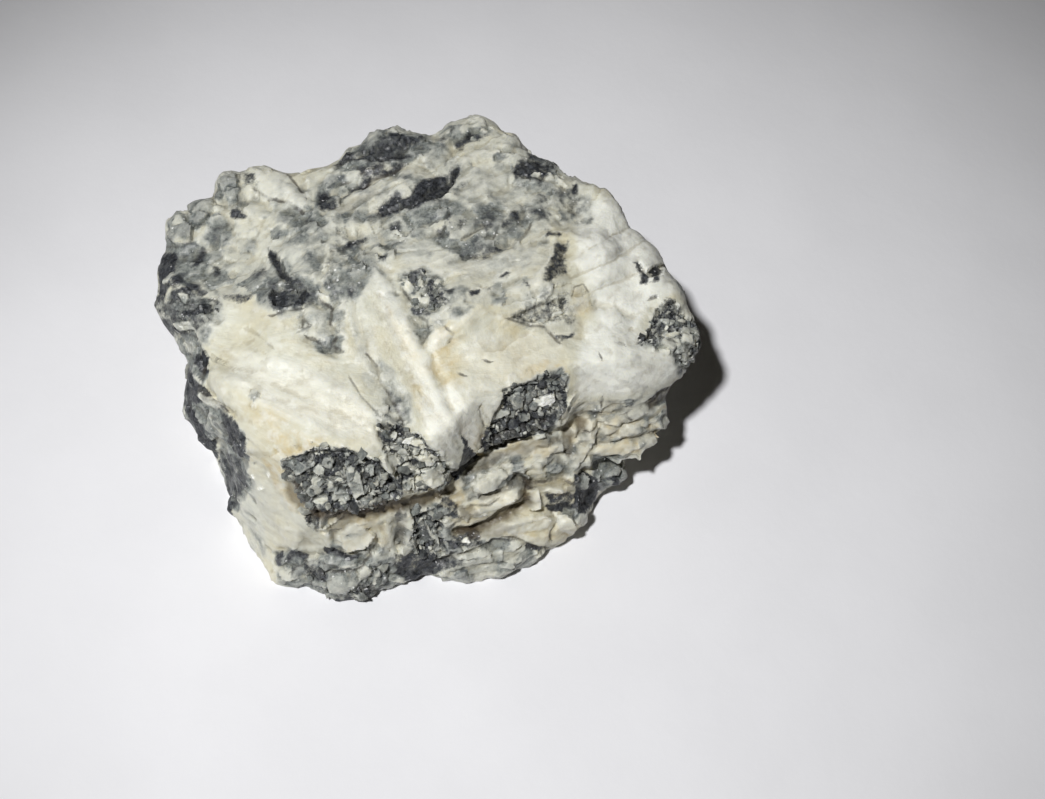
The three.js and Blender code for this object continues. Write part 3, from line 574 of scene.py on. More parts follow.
# width and darkness of a thin line, then its course
CRACKS = {
    "behind bright crystal": (2.2, 0.9, (254, 187), (270, 196), (288, 200), (303, 209)),
    "bright crystal edge": (2.0, 0.8, (288, 172), (296, 181), (306, 196)),
    "wedge split": (2.2, 0.9, (362, 184), (375, 175), (392, 169), (404, 163)),
    "wedge split low": (1.8, 0.6, (330, 186), (350, 180), (366, 170), (384, 164)),
    "granular line": (2.2, 0.9, (322, 299), (332, 306), (330, 321), (338, 331), (332, 342), (342, 348)),
    "granular line left": (1.8, 0.8, (307, 334), (321, 340), (337, 349)),
    "granular line top": (1.8, 0.7, (298, 330), (310, 324), (304, 314)),
    "centre seam": (2.0, 0.75, (368, 352), (378, 366), (381, 380), (390, 392), (400, 410), (404, 424)),
    "centre seam left": (1.6, 0.6, (350, 376), (362, 396), (376, 410), (380, 424)),
    "cream crystal top": (1.8, 0.6, (419, 314), (427, 318), (429, 330), (423, 340)),
    "cream crystal chip": (2.0, 0.9, (446, 326), (454, 333), (450, 340)),
    "cream edge": (2.0, 0.75, (508, 318), (530, 324), (545, 326), (560, 340)),
    "pocket three lip": (1.8, 0.8, (481, 412), (485, 424), (482, 440), (484, 451)),
    "rim crease": (2.4, 0.95, (200, 366), (196, 378), (197, 388), (203, 398), (213, 406), (223, 412)),
    "rim crease twin": (1.6, 0.8, (198, 372), (198, 384), (204, 394), (214, 405)),
    "rim crease high": (1.8, 0.7, (205, 350), (212, 358), (222, 362)),
    "left patch line": (1.8, 0.7, (176, 326), (184, 332), (198, 338)),
    "right fan groove": (1.6, 0.16, (573, 274), (596, 266), (616, 258), (643, 242)),
    "right fan groove low": (1.5, 0.12, (587, 293), (612, 283), (637, 273)),
    "right fan groove high": (1.5, 0.12, (590, 245), (610, 236), (632, 226)),
    "right rim line": (1.6, 0.35, (637, 235), (654, 246), (662, 260), (666, 271)),
    "brown arch": (1.3, 0.6, (574, 294), (577, 284), (585, 281), (591, 289), (594, 301)),
    "slab edge": (2.2, 0.85, (487, 444), (503, 438), (523, 431), (548, 424)),
    "ledge crack": (2.6, 0.95, (518, 476), (532, 481), (548, 480), (564, 476), (575, 484)),
    "ledge crack low": (3.2, 1.0, (528, 488), (529, 502), (512, 515), (490, 525), (470, 530), (456, 533)),
    "ledge crack mid": (1.8, 0.7, (482, 494), (496, 490), (506, 484), (518, 478)),
    "pale ledge foot": (2.0, 0.8, (545, 492), (560, 494), (576, 494)),
    "lower ledge crack": (1.6, 0.7, (553, 511), (557, 521), (552, 532), (553, 541)),
    "lower ledge foot": (2.2, 0.9, (498, 542), (518, 539), (530, 545), (546, 551), (560, 551)),
    "grey bed": (1.6, 0.6, (440, 562), (458, 556), (478, 548), (502, 541)),
    "grey bed low": (1.5, 0.5, (451, 573), (473, 567), (499, 563), (519, 554)),
    "toe line left": (1.8, 0.7, (292, 570), (306, 562), (320, 560), (336, 566), (356, 570)),
    "toe line mid": (2.0, 0.8, (330, 572), (345, 574), (360, 568), (372, 556), (369, 545)),
    "wall lines": (1.4, 0.25, (600, 424), (620, 426), (640, 420), (652, 404)),
    "tooth line": (1.5, 0.6, (598, 455), (620, 459), (640, 458), (650, 452)),
    "tooth line mid": (1.4, 0.3, (612, 440), (636, 438), (658, 431)),
    "tooth line high": (1.4, 0.3, (590, 412), (612, 414), (636, 404), (650, 396)),
    "cleavage top": (1.8, 0.7, (577, 417), (590, 411), (602, 416)),
    "plate foot": (1.5, 0.6, (163, 246), (176, 245), (193, 240)),
    "plate joint": (1.5, 0.5, (185, 216), (188, 226), (193, 238)),
    "plate joint high": (1.5, 0.55, (214, 200), (221, 204), (232, 204)),
    "plate side": (1.5, 0.6, (240, 174), (240, 188), (237, 202)),
    "beige line": (2.2, 0.25, (245, 327), (259, 334), (272, 346)),
    "twin foot": (1.6, 0.8, (270, 314), (287, 309), (302, 307)),
    "dots": (1.6, 0.7, (304, 311), (303, 324)),
    "chip line": (1.4, 0.8, (312, 334), (322, 341), (333, 347)),
    "crown line": (1.6, 0.5, (456, 146), (451, 153), (445, 163)),
    "band line": (1.8, 0.7, (462, 238), (476, 230), (489, 223)),
    "band line mid": (1.6, 0.6, (498, 227), (494, 236), (490, 244)),
    "band line right": (1.8, 0.75, (531, 222), (526, 230), (520, 236)),
    "rhomb line": (1.8, 0.85, (413, 269), (418, 270), (424, 275)),
    "rhomb line left": (1.6, 0.7, (403, 287), (407, 293), (413, 300)),
    "side thin line": (1.4, 0.6, (213, 352), (219, 357), (226, 359)),
    "bed line": (1.6, 0.6, (471, 504), (491, 504), (499, 498)),
    "oval roof": (1.8, 0.8, (497, 540), (506, 538), (517, 539)),
    "right patch crease": (1.8, 0.9, (666, 341), (673, 342)),
    "right fleck": (2.0, 0.9, (649, 299), (655, 297)),
    "dark fleck one": (2.0, 0.9, (630, 405), (626, 414), (632, 420)),
    "dark fleck two": (2.0, 0.9, (603, 398), (602, 404)),
    "dark fleck three": (2.0, 0.9, (486, 359), (491, 360)),
    "dark fleck four": (1.8, 0.8, (460, 372), (465, 374)),
    "dark fleck five": (2.0, 0.9, (619, 341), (624, 343)),
    "dark fleck six": (1.6, 0.8, (601, 352), (603, 357)),
}

# grey, glassy share, softness, outline
SMOKY = {
    "plate low": (1.0, 4, (164, 246), (166, 220), (175, 212), (188, 214), (192, 222), (186, 232),
     (193, 241), (180, 246)),
    "plate middle": (0.9, 4, (186, 216), (198, 194), (206, 199), (213, 202), (214, 213), (206, 222),
     (200, 231), (189, 226)),
    "plate high": (0.88, 4, (213, 198), (219, 173), (226, 170), (240, 174), (239, 196), (232, 203),
     (221, 201)),
    "left grey": (0.95, 7, (206, 217), (228, 213), (234, 224), (228, 246), (212, 248), (204, 238)),
    "left grey low": (0.9, 9, (176, 246), (206, 240), (214, 258), (206, 276), (186, 286), (172, 276)),
    "left field": (0.5, 12, (200, 232), (236, 226), (262, 236), (268, 262), (262, 290), (220, 296),
     (196, 284)),
    "left field dark": (0.3, 7, (208, 260), (232, 256), (236, 276), (222, 288), (206, 282)),
    "left chin": (0.75, 8, (156, 300), (182, 284), (222, 296), (224, 318), (206, 342), (180, 344),
     (162, 330)),
    "edge under plates": (1.0, 4, (164, 242), (196, 241), (200, 248), (176, 252), (164, 250)),
    "beige slope": (0.3, 12, (240, 196), (268, 204), (290, 214), (300, 236), (262, 244), (240, 226)),
    "slope veil": (0.85, 7, (276, 206), (296, 202), (320, 206), (330, 220), (320, 232), (296, 232),
     (278, 220)),
    "mid left veil": (0.22, 10, (300, 226), (326, 214), (350, 218), (380, 226), (374, 250), (330, 262),
     (308, 258)),
    "granular field": (0.7, 8, (328, 244), (340, 238), (372, 246), (376, 266), (356, 300), (328, 306),
     (323, 280)),
    "under granular": (0.7, 8, (300, 296), (330, 300), (344, 310), (342, 350), (318, 348), (298, 326)),
    "twins halo": (0.65, 9, (258, 280), (300, 270), (322, 284), (318, 312), (282, 316), (256, 302)),
    "slant halo": (0.6, 8, (258, 246), (282, 244), (300, 274), (274, 282)),
    "rear chip": (0.72, 5, (326, 176), (346, 174), (362, 182), (346, 194), (330, 204), (316, 206),
     (314, 190)),
    "rear plate": (0.1, 6, (300, 176), (326, 172), (326, 190), (312, 200)),
    "rear slope": (0.28, 9, (366, 184), (404, 166), (436, 160), (440, 176), (396, 202), (366, 214),
     (342, 210)),
    "rear slope edge": (0.42, 5, (354, 190), (376, 176), (404, 164), (424, 154), (432, 162), (400, 174),
     (376, 186), (350, 202), (338, 206)),
    "behind wedge": (0.75, 6, (404, 148), (428, 140), (444, 130), (446, 150), (436, 168), (420, 172),
     (424, 156)),
    "tail veil": (0.65, 6, (338, 208), (366, 208), (392, 206), (398, 216), (372, 224), (344, 222)),
    "below lens": (0.7, 8, (400, 208), (448, 194), (466, 204), (440, 226), (404, 226)),
    "middle veil": (0.62, 8, (376, 222), (402, 220), (416, 214), (432, 222), (420, 236), (400, 248),
     (378, 250)),
    "middle low": (0.45, 7, (356, 238), (384, 244), (394, 258), (376, 266), (354, 262)),
    "upper bands": (0.72, 7, (434, 240), (448, 206), (470, 204), (498, 198), (510, 204), (504, 228),
     (470, 256), (456, 256)),
    "upper bands right": (0.62, 7, (504, 206), (530, 194), (548, 188), (560, 190), (562, 206), (548, 218),
     (520, 226), (506, 226)),
    "upper bands low": (0.6, 7, (476, 232), (504, 224), (534, 216), (526, 230), (506, 246), (480, 256)),
    "speckled shoulder": (0.4, 8, (534, 176), (560, 168), (580, 178), (594, 200), (592, 220), (556, 222),
     (546, 204)),
    "crown": (0.62, 6, (436, 132), (450, 122), (474, 114), (490, 122), (496, 132), (470, 140), (448, 160),
     (436, 160)),
    "crown side": (0.6, 5, (440, 136), (456, 140), (452, 158), (448, 172), (436, 172)),
    "lobe shade": (0.55, 7, (478, 152), (516, 146), (522, 158), (500, 164), (476, 164)),
    "lobe side": (0.45, 6, (446, 176), (462, 162), (470, 172), (458, 196), (444, 202)),
    "lobe tip": (0.5, 6, (496, 134), (520, 134), (526, 150), (506, 150)),
    "corner halo": (0.62, 8, (506, 160), (530, 148), (562, 160), (566, 176), (546, 192), (514, 190)),
    "stripe grey": (0.40, 7, (440, 288), (480, 280), (530, 272), (552, 280), (520, 296), (476, 304),
     (444, 304)),
    "stripe edge": (0.2, 5, (446, 284), (466, 270), (500, 266), (512, 270), (496, 280), (466, 284)),
    "glassy band": (0.62, 6, (486, 300), (500, 294), (530, 288), (552, 280), (556, 292), (540, 300),
     (510, 308)),
    "rhombs": (0.58, 6, (396, 270), (424, 262), (448, 282), (452, 308), (432, 324), (408, 310)),
    "below rhombs": (0.55, 7, (408, 312), (440, 306), (476, 304), (470, 314), (436, 326), (420, 344)),
    "centre top grey": (0.40, 8, (372, 262), (384, 262), (402, 290), (412, 320), (400, 322), (384, 292)),
    "centre left grey": (0.2, 8, (344, 300), (362, 296), (384, 360), (404, 410), (390, 420), (362, 376)),
    "pale wedge blade": (0.30, 5, (520, 240), (548, 228), (552, 250), (544, 280), (516, 284)),
    "patch halo": (0.15, 8, (500, 312), (530, 296), (560, 286), (580, 300), (580, 340), (556, 344),
     (520, 326)),
    "glassy chip": (0.4, 4, (370, 402), (392, 406), (396, 422), (376, 424)),
    "seam halo": (0.38, 7, (376, 356), (392, 366), (412, 396), (414, 424), (396, 424), (382, 394)),
    "front flank": (0.3, 8, (238, 462), (258, 462), (258, 500), (270, 560), (250, 552), (232, 516),
     (228, 490)),
    "front flank face": (0.16, 12, (254, 464), (276, 470), (310, 520), (330, 548), (280, 556), (262, 520)),
    "side strip": (0.85, 5, (198, 398), (214, 406), (226, 422), (232, 448), (214, 444), (202, 424)),
    "side rim": (0.85, 6, (176, 336), (200, 336), (206, 366), (196, 384), (188, 364)),
    "toe": (0.78, 8, (272, 552), (300, 548), (346, 556), (396, 556), (400, 584), (372, 602), (336, 606),
     (300, 588), (278, 590)),
    "toe upper": (0.35, 8, (330, 538), (396, 548), (396, 560), (330, 558)),
    "grey bed": (0.62, 6, (426, 556), (460, 542), (500, 538), (536, 548), (536, 562), (514, 580),
     (480, 582), (436, 582)),
    "lump": (0.85, 5, (594, 454), (634, 452), (642, 462), (628, 482), (606, 490), (592, 488)),
    "bed shade": (0.35, 8, (520, 432), (560, 430), (568, 450), (548, 464), (520, 456)),
    "beds": (0.55, 9, (456, 470), (500, 450), (560, 452), (576, 474), (530, 484), (470, 500)),
    "beds left": (0.15, 8, (440, 486), (466, 470), (474, 500), (452, 520), (436, 506)),
    "cleavage top shade": (0.3, 6, (568, 408), (612, 398), (660, 376), (672, 384), (650, 412), (600, 424),
     (570, 424)),
    "cleavage face": (0.34, 9, (568, 420), (600, 420), (660, 410), (668, 430), (600, 456), (584, 474),
     (566, 470)),
    "right corner": (0.75, 7, (676, 314), (696, 320), (703, 344), (692, 370), (676, 374), (666, 344)),
    "right patch halo": (0.6, 6, (652, 320), (664, 300), (680, 306), (690, 340), (656, 350), (640, 344)),
    "nest field": (0.75, 8, (398, 506), (440, 502), (454, 526), (454, 552), (412, 560), (396, 540)),
    "pocket two field": (0.3, 6, (380, 424), (414, 430), (446, 456), (466, 484), (440, 490), (400, 488),
     (384, 462)),
    "pocket one field": (0.85, 3, (281, 461), (325, 443), (365, 454), (402, 481), (404, 500), (360, 513),
     (308, 508), (290, 485)),
    "pocket three field": (0.80, 4, (508, 392), (532, 376), (566, 364), (572, 380), (570, 404), (554, 430),
     (508, 443), (484, 452), (490, 428), (504, 416)),
    "block side": (0.2, 6, (388, 512), (404, 512), (404, 550), (388, 548)),
    "ledge side": (0.85, 6, (560, 500), (590, 506), (588, 524), (564, 516)),
    "right rim shade": (0.45, 4, (640, 232), (660, 240), (672, 268), (690, 300), (680, 296), (664, 270),
     (654, 250)),
    "back wedge": (0.95, 4, (333, 168), (350, 148), (385, 127), (430, 134), (440, 150), (400, 163),
     (365, 166), (340, 172)),
    "side slab one": (1.0, 4, (184, 366), (196, 370), (198, 396), (206, 424), (218, 452), (214, 460),
     (194, 446), (183, 405)),
    "side facet": (0.5, 5, (200, 400), (220, 404), (226, 428), (216, 436), (206, 424)),
    "side slab two": (1.0, 4, (220, 414), (232, 420), (246, 434), (250, 488), (236, 512), (222, 502),
     (220, 450)),
    "foot lavender": (0.6, 6, (376, 590), (400, 570), (440, 562), (452, 572), (430, 586), (384, 600)),
    "upper left": (0.34, 26, (160, 250), (190, 200), (240, 176), (330, 180), (400, 150), (520, 150),
     (560, 200), (520, 270), (400, 260), (330, 320), (240, 286), (190, 330)),
    "slope veil low": (0.6, 8, (262, 222), (300, 226), (330, 232), (326, 252), (300, 244), (270, 240)),
    "fan spot": (0.3, 5, (650, 284), (664, 284), (666, 297), (652, 299)),
}

# warm iron stain
WARM = {
    "cream crystal left": (0.55, 14, (420, 322), (450, 316), (466, 340), (462, 380), (476, 430), (450, 440),
     (420, 410), (404, 378), (412, 348)),
    "cream crystal core": (0.30, 20, (440, 320), (520, 318), (570, 338), (560, 366), (500, 386), (478, 430),
     (446, 400)),
    "over pocket one": (0.8, 16, (268, 436), (300, 428), (330, 438), (316, 448), (292, 458), (280, 468),
     (262, 454)),
    "left fan": (0.34, 20, (240, 392), (300, 396), (372, 410), (380, 440), (320, 440), (270, 452),
     (236, 420)),
    "pocket three brow": (0.7, 7, (520, 368), (545, 356), (566, 356), (572, 372), (548, 372), (520, 380)),
    "left flank": (1.0, 8, (262, 458), (280, 466), (298, 500), (306, 516), (290, 512), (272, 484)),
    "under slab": (0.7, 8, (340, 508), (392, 502), (430, 492), (452, 486), (446, 506), (400, 520),
     (350, 524)),
    "block": (0.45, 10, (338, 520), (392, 514), (394, 548), (340, 552)),
    "yellow ledge": (1.0, 8, (446, 482), (472, 476), (476, 500), (466, 514), (448, 502)),
    "arch": (0.5, 6, (572, 288), (584, 278), (594, 292), (596, 310), (576, 316)),
    "tip flank": (0.95, 7, (458, 424), (480, 416), (484, 440), (474, 452), (464, 440)),
    "pink bed": (0.8, 9, (470, 448), (520, 436), (560, 444), (560, 456), (500, 466), (462, 476)),
    "lower ledge": (0.5, 10, (500, 514), (560, 512), (586, 522), (560, 544), (520, 536)),
    "rear chips": (0.1, 10, (230, 220), (262, 214), (280, 236), (252, 252), (232, 246)),
    "small gold": (0.8, 3, (328, 532), (336, 528), (334, 542), (328, 542)),
    "teeth": (0.95, 10, (566, 420), (600, 408), (640, 420), (672, 400), (668, 440), (630, 456), (590, 462),
     (572, 462)),
    "wall": (0.35, 14, (460, 480), (500, 452), (560, 436), (572, 470), (590, 510), (560, 536), (480, 540),
     (440, 520)),
    "cleavage top": (0.6, 8, (560, 404), (620, 400), (640, 412), (600, 424), (570, 424)),
    "tan band": (0.9, 6, (445, 482), (470, 462), (486, 455), (490, 466), (470, 484), (448, 494)),
    "centre blade": (0.6, 8, (384, 300), (404, 308), (426, 362), (404, 358)),
}

# brighter than the rest
SNOW = {
    "bright crystal": (0.5, 3, (256, 172), (262, 168), (290, 172), (296, 181), (306, 196), (312, 203),
     (298, 205), (284, 203), (268, 199), (260, 192), (257, 184)),
    "right fan": (1.0, 10, (580, 196), (612, 200), (650, 246), (676, 292), (650, 300), (636, 330),
     (600, 330), (596, 290), (578, 262), (576, 226)),
    "right fan low": (0.9, 10, (590, 320), (636, 326), (650, 350), (686, 356), (664, 380), (600, 396),
     (580, 400), (580, 350)),
    "small crystal": (0.6, 3, (432, 330), (444, 326), (452, 336), (446, 346), (430, 352), (426, 342)),
    "left upper blade": (0.3, 4, (284, 240), (302, 238), (308, 256), (298, 272), (286, 262)),
    "stripe": (0.45, 8, (400, 240), (436, 240), (452, 254), (500, 258), (536, 244), (540, 262), (500, 268),
     (440, 276), (404, 262)),
    "lobe": (0.3, 7, (456, 180), (480, 168), (508, 168), (508, 182), (480, 194), (460, 196)),
    "left fan bright": (0.6, 12, (232, 350), (290, 358), (340, 376), (380, 420), (376, 440), (330, 432),
     (260, 404), (226, 376)),
    "centre blade": (0.6, 5, (368, 262), (378, 262), (404, 310), (430, 360), (444, 400), (424, 392),
     (394, 340)),
    "foot blades": (0.9, 8, (420, 396), (450, 380), (466, 400), (482, 430), (474, 450), (462, 440),
     (446, 440), (426, 430)),
    "cream": (0.35, 14, (470, 330), (560, 340), (560, 360), (500, 390), (484, 420), (460, 380)),
    "white bed": (0.5, 5, (482, 486), (506, 480), (524, 484), (522, 498), (500, 510), (480, 508)),
    "tip lobes": (0.55, 8, (462, 398), (496, 392), (500, 412), (484, 424), (482, 446), (466, 440),
     (460, 420)),
    # painted light: whiter on the rim, where the fold beside it would shade it
    "rim light": (1.0, 5, (618, 372), (650, 362), (654, 372), (628, 383)),
    "over pocket two": (0.75, 6, (424, 430), (452, 432), (458, 452), (446, 456), (432, 446)),
}

# how far the crystals of a field run, in millimetres, and which way: from one place towards another
FIELDS = (
    ("left fan", 5.0, 0.9, 0.24, ((150, 290), (390, 440)), True, ((205, 318), (240, 300), (290, 310),
     (330, 330), (350, 360), (385, 400), (395, 440), (370, 455), (330, 445), (285, 455), (255, 440),
     (225, 410), (205, 380), (195, 350))),
    ("centre blades", 5.2, 0.8, 0.38, ((350, 215), (455, 460)), True, ((345, 255), (380, 255), (400, 290),
     (425, 340), (445, 400), (470, 440), (455, 470), (430, 440), (395, 410), (360, 360), (340, 310))),
    ("cream crystal", 4.0, 1.7, 0.20, ((430, 350), (560, 345)), True, ((430, 320), (470, 305), (520, 318),
     (570, 330), (575, 370), (540, 368), (505, 388), (485, 415), (482, 450), (462, 440), (440, 400),
     (420, 350))),
    ("right fan", 4.5, 1.6, 0.12, ((500, 320), (660, 240)), True, ((565, 185), (600, 190), (640, 232),
     (664, 262), (690, 305), (660, 300), (640, 340), (650, 370), (690, 370), (640, 400), (580, 405),
     (572, 370), (575, 330), (595, 290), (572, 262), (570, 240))),
    ("upper lobes", 3.2, 0.8, 0.42, ((430, 190), (520, 148)), False, ((425, 138), (480, 113), (525, 150),
     (515, 175), (545, 190), (500, 200), (450, 210), (425, 200), (445, 170))),
    ("rear slope", 3.6, 0.8, 0.42, ((335, 205), (440, 165)), False, ((318, 178), (345, 164), (445, 158),
     (430, 202), (330, 215))),
    ("bands", 3.2, 0.7, 0.42, ((440, 240), (560, 196)), False, ((436, 238), (450, 204), (560, 186),
     (596, 200), (560, 240), (556, 290), (450, 300), (400, 262))),
    ("left chips", 2.4, 1.5, 0.42, ((180, 250), (240, 200)), False, ((160, 250), (170, 210), (240, 168),
     (330, 172), (330, 250), (300, 300), (200, 300), (156, 300))),
    ("granular", 0.9, 0.7, 0.7, ((312, 300), (372, 250)), False, ((306, 248), (345, 236), (378, 246),
     (376, 266), (350, 308), (322, 308))),
    ("left front face", 4.0, 1.6, 0.14, ((250, 455), (330, 550)), False, ((240, 456), (280, 462),
     (300, 505), (335, 545), (320, 556), (280, 552), (255, 540), (228, 505))),
    ("wall beds", 3.2, 0.7, 0.42, ((450, 500), (580, 462)), False, ((430, 500), (480, 450), (560, 430),
     (600, 460), (590, 520), (560, 550), (520, 574), (440, 584), (430, 560))),
    ("cleavage", 2.8, 0.7, 0.42, ((575, 470), (660, 430)), False, ((563, 430), (600, 404), (660, 390),
     (672, 430), (640, 458), (600, 458), (580, 474))),
    ("toe chips", 1.4, 0.7, 0.6, ((290, 560), (390, 590)), False, ((276, 548), (400, 548), (400, 590),
     (340, 606), (280, 592))),
)

# hollows with loose grains in them: depth in millimetres, softness, outline
HOLLOWS = {
    "pocket one": (0.55, 4, (283, 463), (292, 458), (318, 448), (345, 450), (378, 461), (398, 482),
     (400, 497), (384, 504), (345, 509), (310, 505), (293, 485)),
    "pocket two": (0.40, 5, (376, 424), (400, 428), (424, 442), (448, 460), (458, 474), (440, 480),
     (404, 486), (390, 462)),
    "pocket three": (0.55, 4, (506, 394), (530, 380), (550, 373), (566, 376), (568, 402), (552, 424),
     (520, 434), (492, 442), (490, 430)),
    "lens": (0.6, 3, (388, 210), (410, 200), (435, 180), (458, 172), (448, 190), (425, 198)),
    "black twins": (0.5, 3, (272, 284), (290, 282), (306, 284), (304, 300), (288, 304), (274, 302)),
    "slant wedge": (0.4, 3, (269, 248), (276, 252), (292, 280), (280, 278)),
    "corner patch": (0.35, 4, (515, 172), (530, 156), (552, 162), (545, 178), (522, 178)),
    "patch over cream": (0.35, 4, (512, 316), (540, 302), (568, 296), (566, 312), (545, 322)),
    "left patch": (0.3, 6, (165, 298), (190, 284), (218, 292), (214, 312), (180, 310)),
    "right vee": (0.4, 2, (636, 262), (646, 271), (660, 264), (660, 277), (648, 279)),
    "right patch": (0.35, 4, (660, 304), (674, 304), (692, 322), (690, 334), (660, 338), (644, 340)),
    "nest": (0.35, 4, (414, 512), (436, 508), (444, 530), (440, 554), (420, 552), (414, 534)),
    "shaded block": (0.5, 4, (580, 490), (596, 490), (592, 506), (580, 508)),
    "back wedge": (0.4, 4, (345, 158), (385, 140), (412, 138), (404, 154), (370, 158)),
}

# folds of the surface: height in millimetres (below nothing for a groove), half width in pixels, course
FOLDS = (
    (0.55, 32, (622, 196), (648, 246), (664, 290), (674, 334), (664, 370), (638, 390)),
    (-0.3, 24, (576, 200), (582, 260), (586, 300), (584, 350), (576, 392)),
    (0.5, 16, (480, 170), (510, 160), (530, 172)),
    (-0.35, 5, (256, 196), (272, 205), (292, 209), (308, 217)),
    (0.25, 9, (262, 176), (284, 186), (302, 200)),
    (-0.30, 5, (320, 303), (330, 312), (329, 326), (336, 336), (331, 348)),
    (-0.28, 4, (306, 338), (320, 344), (336, 353)),
    (0.2, 6, (372, 262), (396, 305), (420, 356), (440, 400), (462, 442)),
    (-0.18, 6, (352, 300), (366, 340), (382, 384), (400, 420)),
    (-0.18, 5, (404, 290), (424, 330), (438, 372), (452, 404)),
    (0.2, 8, (430, 346), (450, 330), (480, 312), (520, 318)),
    (-0.35, 5, (414, 316), (424, 324), (424, 340)),
    (0.18, 6, (240, 350), (290, 366), (345, 392), (386, 420)),
    (-0.12, 5, (236, 368), (284, 388), (340, 410), (380, 436)),
    (0.12, 5, (236, 392), (280, 410), (330, 432)),
    (-0.12, 6, (575, 272), (598, 264), (618, 256), (645, 240)),
    (-0.08, 6, (590, 290), (615, 280), (640, 270)),
    (-0.08, 6, (586, 246), (610, 236), (632, 224)),
    (0.12, 7, (582, 262), (612, 250), (640, 236)),
    (0.12, 7, (590, 282), (622, 270), (648, 256)),
    (0.22, 8, (594, 312), (620, 316), (640, 330)),
    (-0.25, 5, (600, 300), (618, 306), (632, 316)),
    (-0.45, 5, (205, 364), (201, 376), (203, 388), (214, 402), (228, 412)),
    (0.30, 7, (216, 372), (224, 388), (236, 402)),
    (-0.35, 6, (362, 184), (378, 174), (394, 168), (406, 162)),
    (0.30, 7, (330, 176), (356, 172), (380, 166)),
    (0.30, 7, (345, 196), (380, 190), (412, 178)),
    (-0.30, 5, (452, 145), (462, 136), (474, 129), (488, 125)),
    (0.30, 7, (450, 168), (476, 154), (504, 148)),
    (-0.25, 5, (462, 186), (484, 176), (508, 166)),
    (0.25, 6, (450, 236), (480, 226), (512, 216)),
    (-0.30, 5, (462, 256), (486, 254), (506, 244), (530, 226)),
    (0.35, 6, (540, 282), (552, 256), (556, 240)),
    (-0.40, 4, (518, 477), (532, 482), (548, 481), (566, 477)),
    (-0.5, 5, (528, 488), (529, 503), (513, 516), (490, 526), (456, 533)),
    (0.30, 6, (486, 488), (506, 486), (518, 492)),
    (0.28, 6, (512, 500), (530, 490), (534, 504)),
    (-0.25, 4, (470, 468), (500, 462), (532, 458), (566, 452)),
    (0.20, 4, (474, 460), (504, 452), (540, 446), (566, 446)),
    (-0.22, 4, (480, 478), (508, 470), (544, 466)),
    (-0.35, 5, (494, 542), (514, 540), (530, 548), (556, 551)),
    (0.30, 7, (510, 522), (544, 520), (574, 522)),
    (-0.22, 3, (553, 512), (557, 522), (552, 540)),
    (-0.25, 4, (438, 562), (470, 552), (500, 542)),
    (-0.22, 4, (452, 574), (486, 566), (520, 554)),
    (-0.25, 5, (606, 459), (622, 461), (646, 457)),
    (-0.22, 3, (604, 444), (632, 440), (658, 432)),
    (-0.25, 4, (586, 416), (612, 414), (640, 404)),
    (-0.22, 3, (600, 426), (626, 426), (650, 416)),
    (0.25, 5, (574, 430), (590, 426), (596, 444), (590, 464)),
    (-0.30, 4, (598, 424), (598, 444), (594, 462)),
    (-0.35, 5, (393, 514), (398, 530), (398, 548)),
    (0.15, 6, (345, 524), (370, 520), (390, 522)),
    (-0.30, 4, (332, 528), (334, 544)),
    (-0.35, 4, (278, 550), (292, 554), (312, 556), (336, 552), (360, 556)),
    (0.25, 6, (300, 566), (330, 560), (350, 560)),
    (0.28, 7, (336, 584), (350, 586), (362, 582)),
    (-0.28, 4, (330, 572), (346, 575), (360, 568), (370, 556)),
    (0.12, 5, (250, 472), (266, 504), (286, 536)),
    (-0.10, 4, (262, 470), (282, 506), (306, 540)),
)


def distance_to(points, course, closed):
    """Distance in pixels from each point to a course of straight pieces."""
    course = np.array(course, float)
    after = np.roll(course, -1, axis=0)
    if not closed:
        course, after = course[:-1], after[:-1]
    best = np.full(len(points), FAR)
    for a, b in zip(course, after):
        along = b - a
        t = np.clip((points - a) @ along / max(along @ along, 1e-9), 0, 1)
        away = points - a - t[:, None] * along
        best = np.minimum(best, np.sum(away * away, axis=1))
    return np.sqrt(best)


def inside(points, outline):
    outline = np.array(outline, float)
    crossings = np.zeros(len(points), bool)
    for a, b in zip(outline, np.roll(outline, -1, axis=0)):
        spans = (a[1] > points[:, 1]) != (b[1] > points[:, 1])
        height = b[1] - a[1] if b[1] != a[1] else 1e-9
        across = a[0] + (points[:, 1] - a[1]) / height * (b[0] - a[0])
        crossings ^= spans & (points[:, 0] < across)
    return crossings


def near(points, course, margin):
    course = np.array(course, float)
    low, high = course.min(0) - margin, course.max(0) + margin
    return np.flatnonzero(np.all((points > low) & (points < high), axis=1))


def filled(points, outline, softness):
    """1 well inside the outline, a half on it, 0 well outside."""
    value = np.zeros(len(points))
    close = near(points, outline, softness + 2)
    if len(close):
        d = distance_to(points[close], outline, True)
        d = np.where(inside(points[close], outline), d, -d)
        value[close] = ramp(d, -softness / 2, softness / 2)
    return value


def stroke(points, course, half_width):
    value = np.zeros(len(points))
    close = near(points, course, half_width * 3)
    if len(close):
        d = distance_to(points[close], course, False)
        value[close] = np.exp(-((d / half_width) ** 2))
    return value


def strongest(points, shapes, haze=0.0):
    """The strongest of several marks at each point. Haze softens those in the far half."""
    value = np.zeros(len(points))
    for amount, softness, *outline in shapes.values():
        soft = softness + haze * np.interp(np.mean(np.array(outline)[:, 1]), (280, 360), (1, 0))
        value = np.maximum(value, amount * filled(points, outline, soft))
    return value


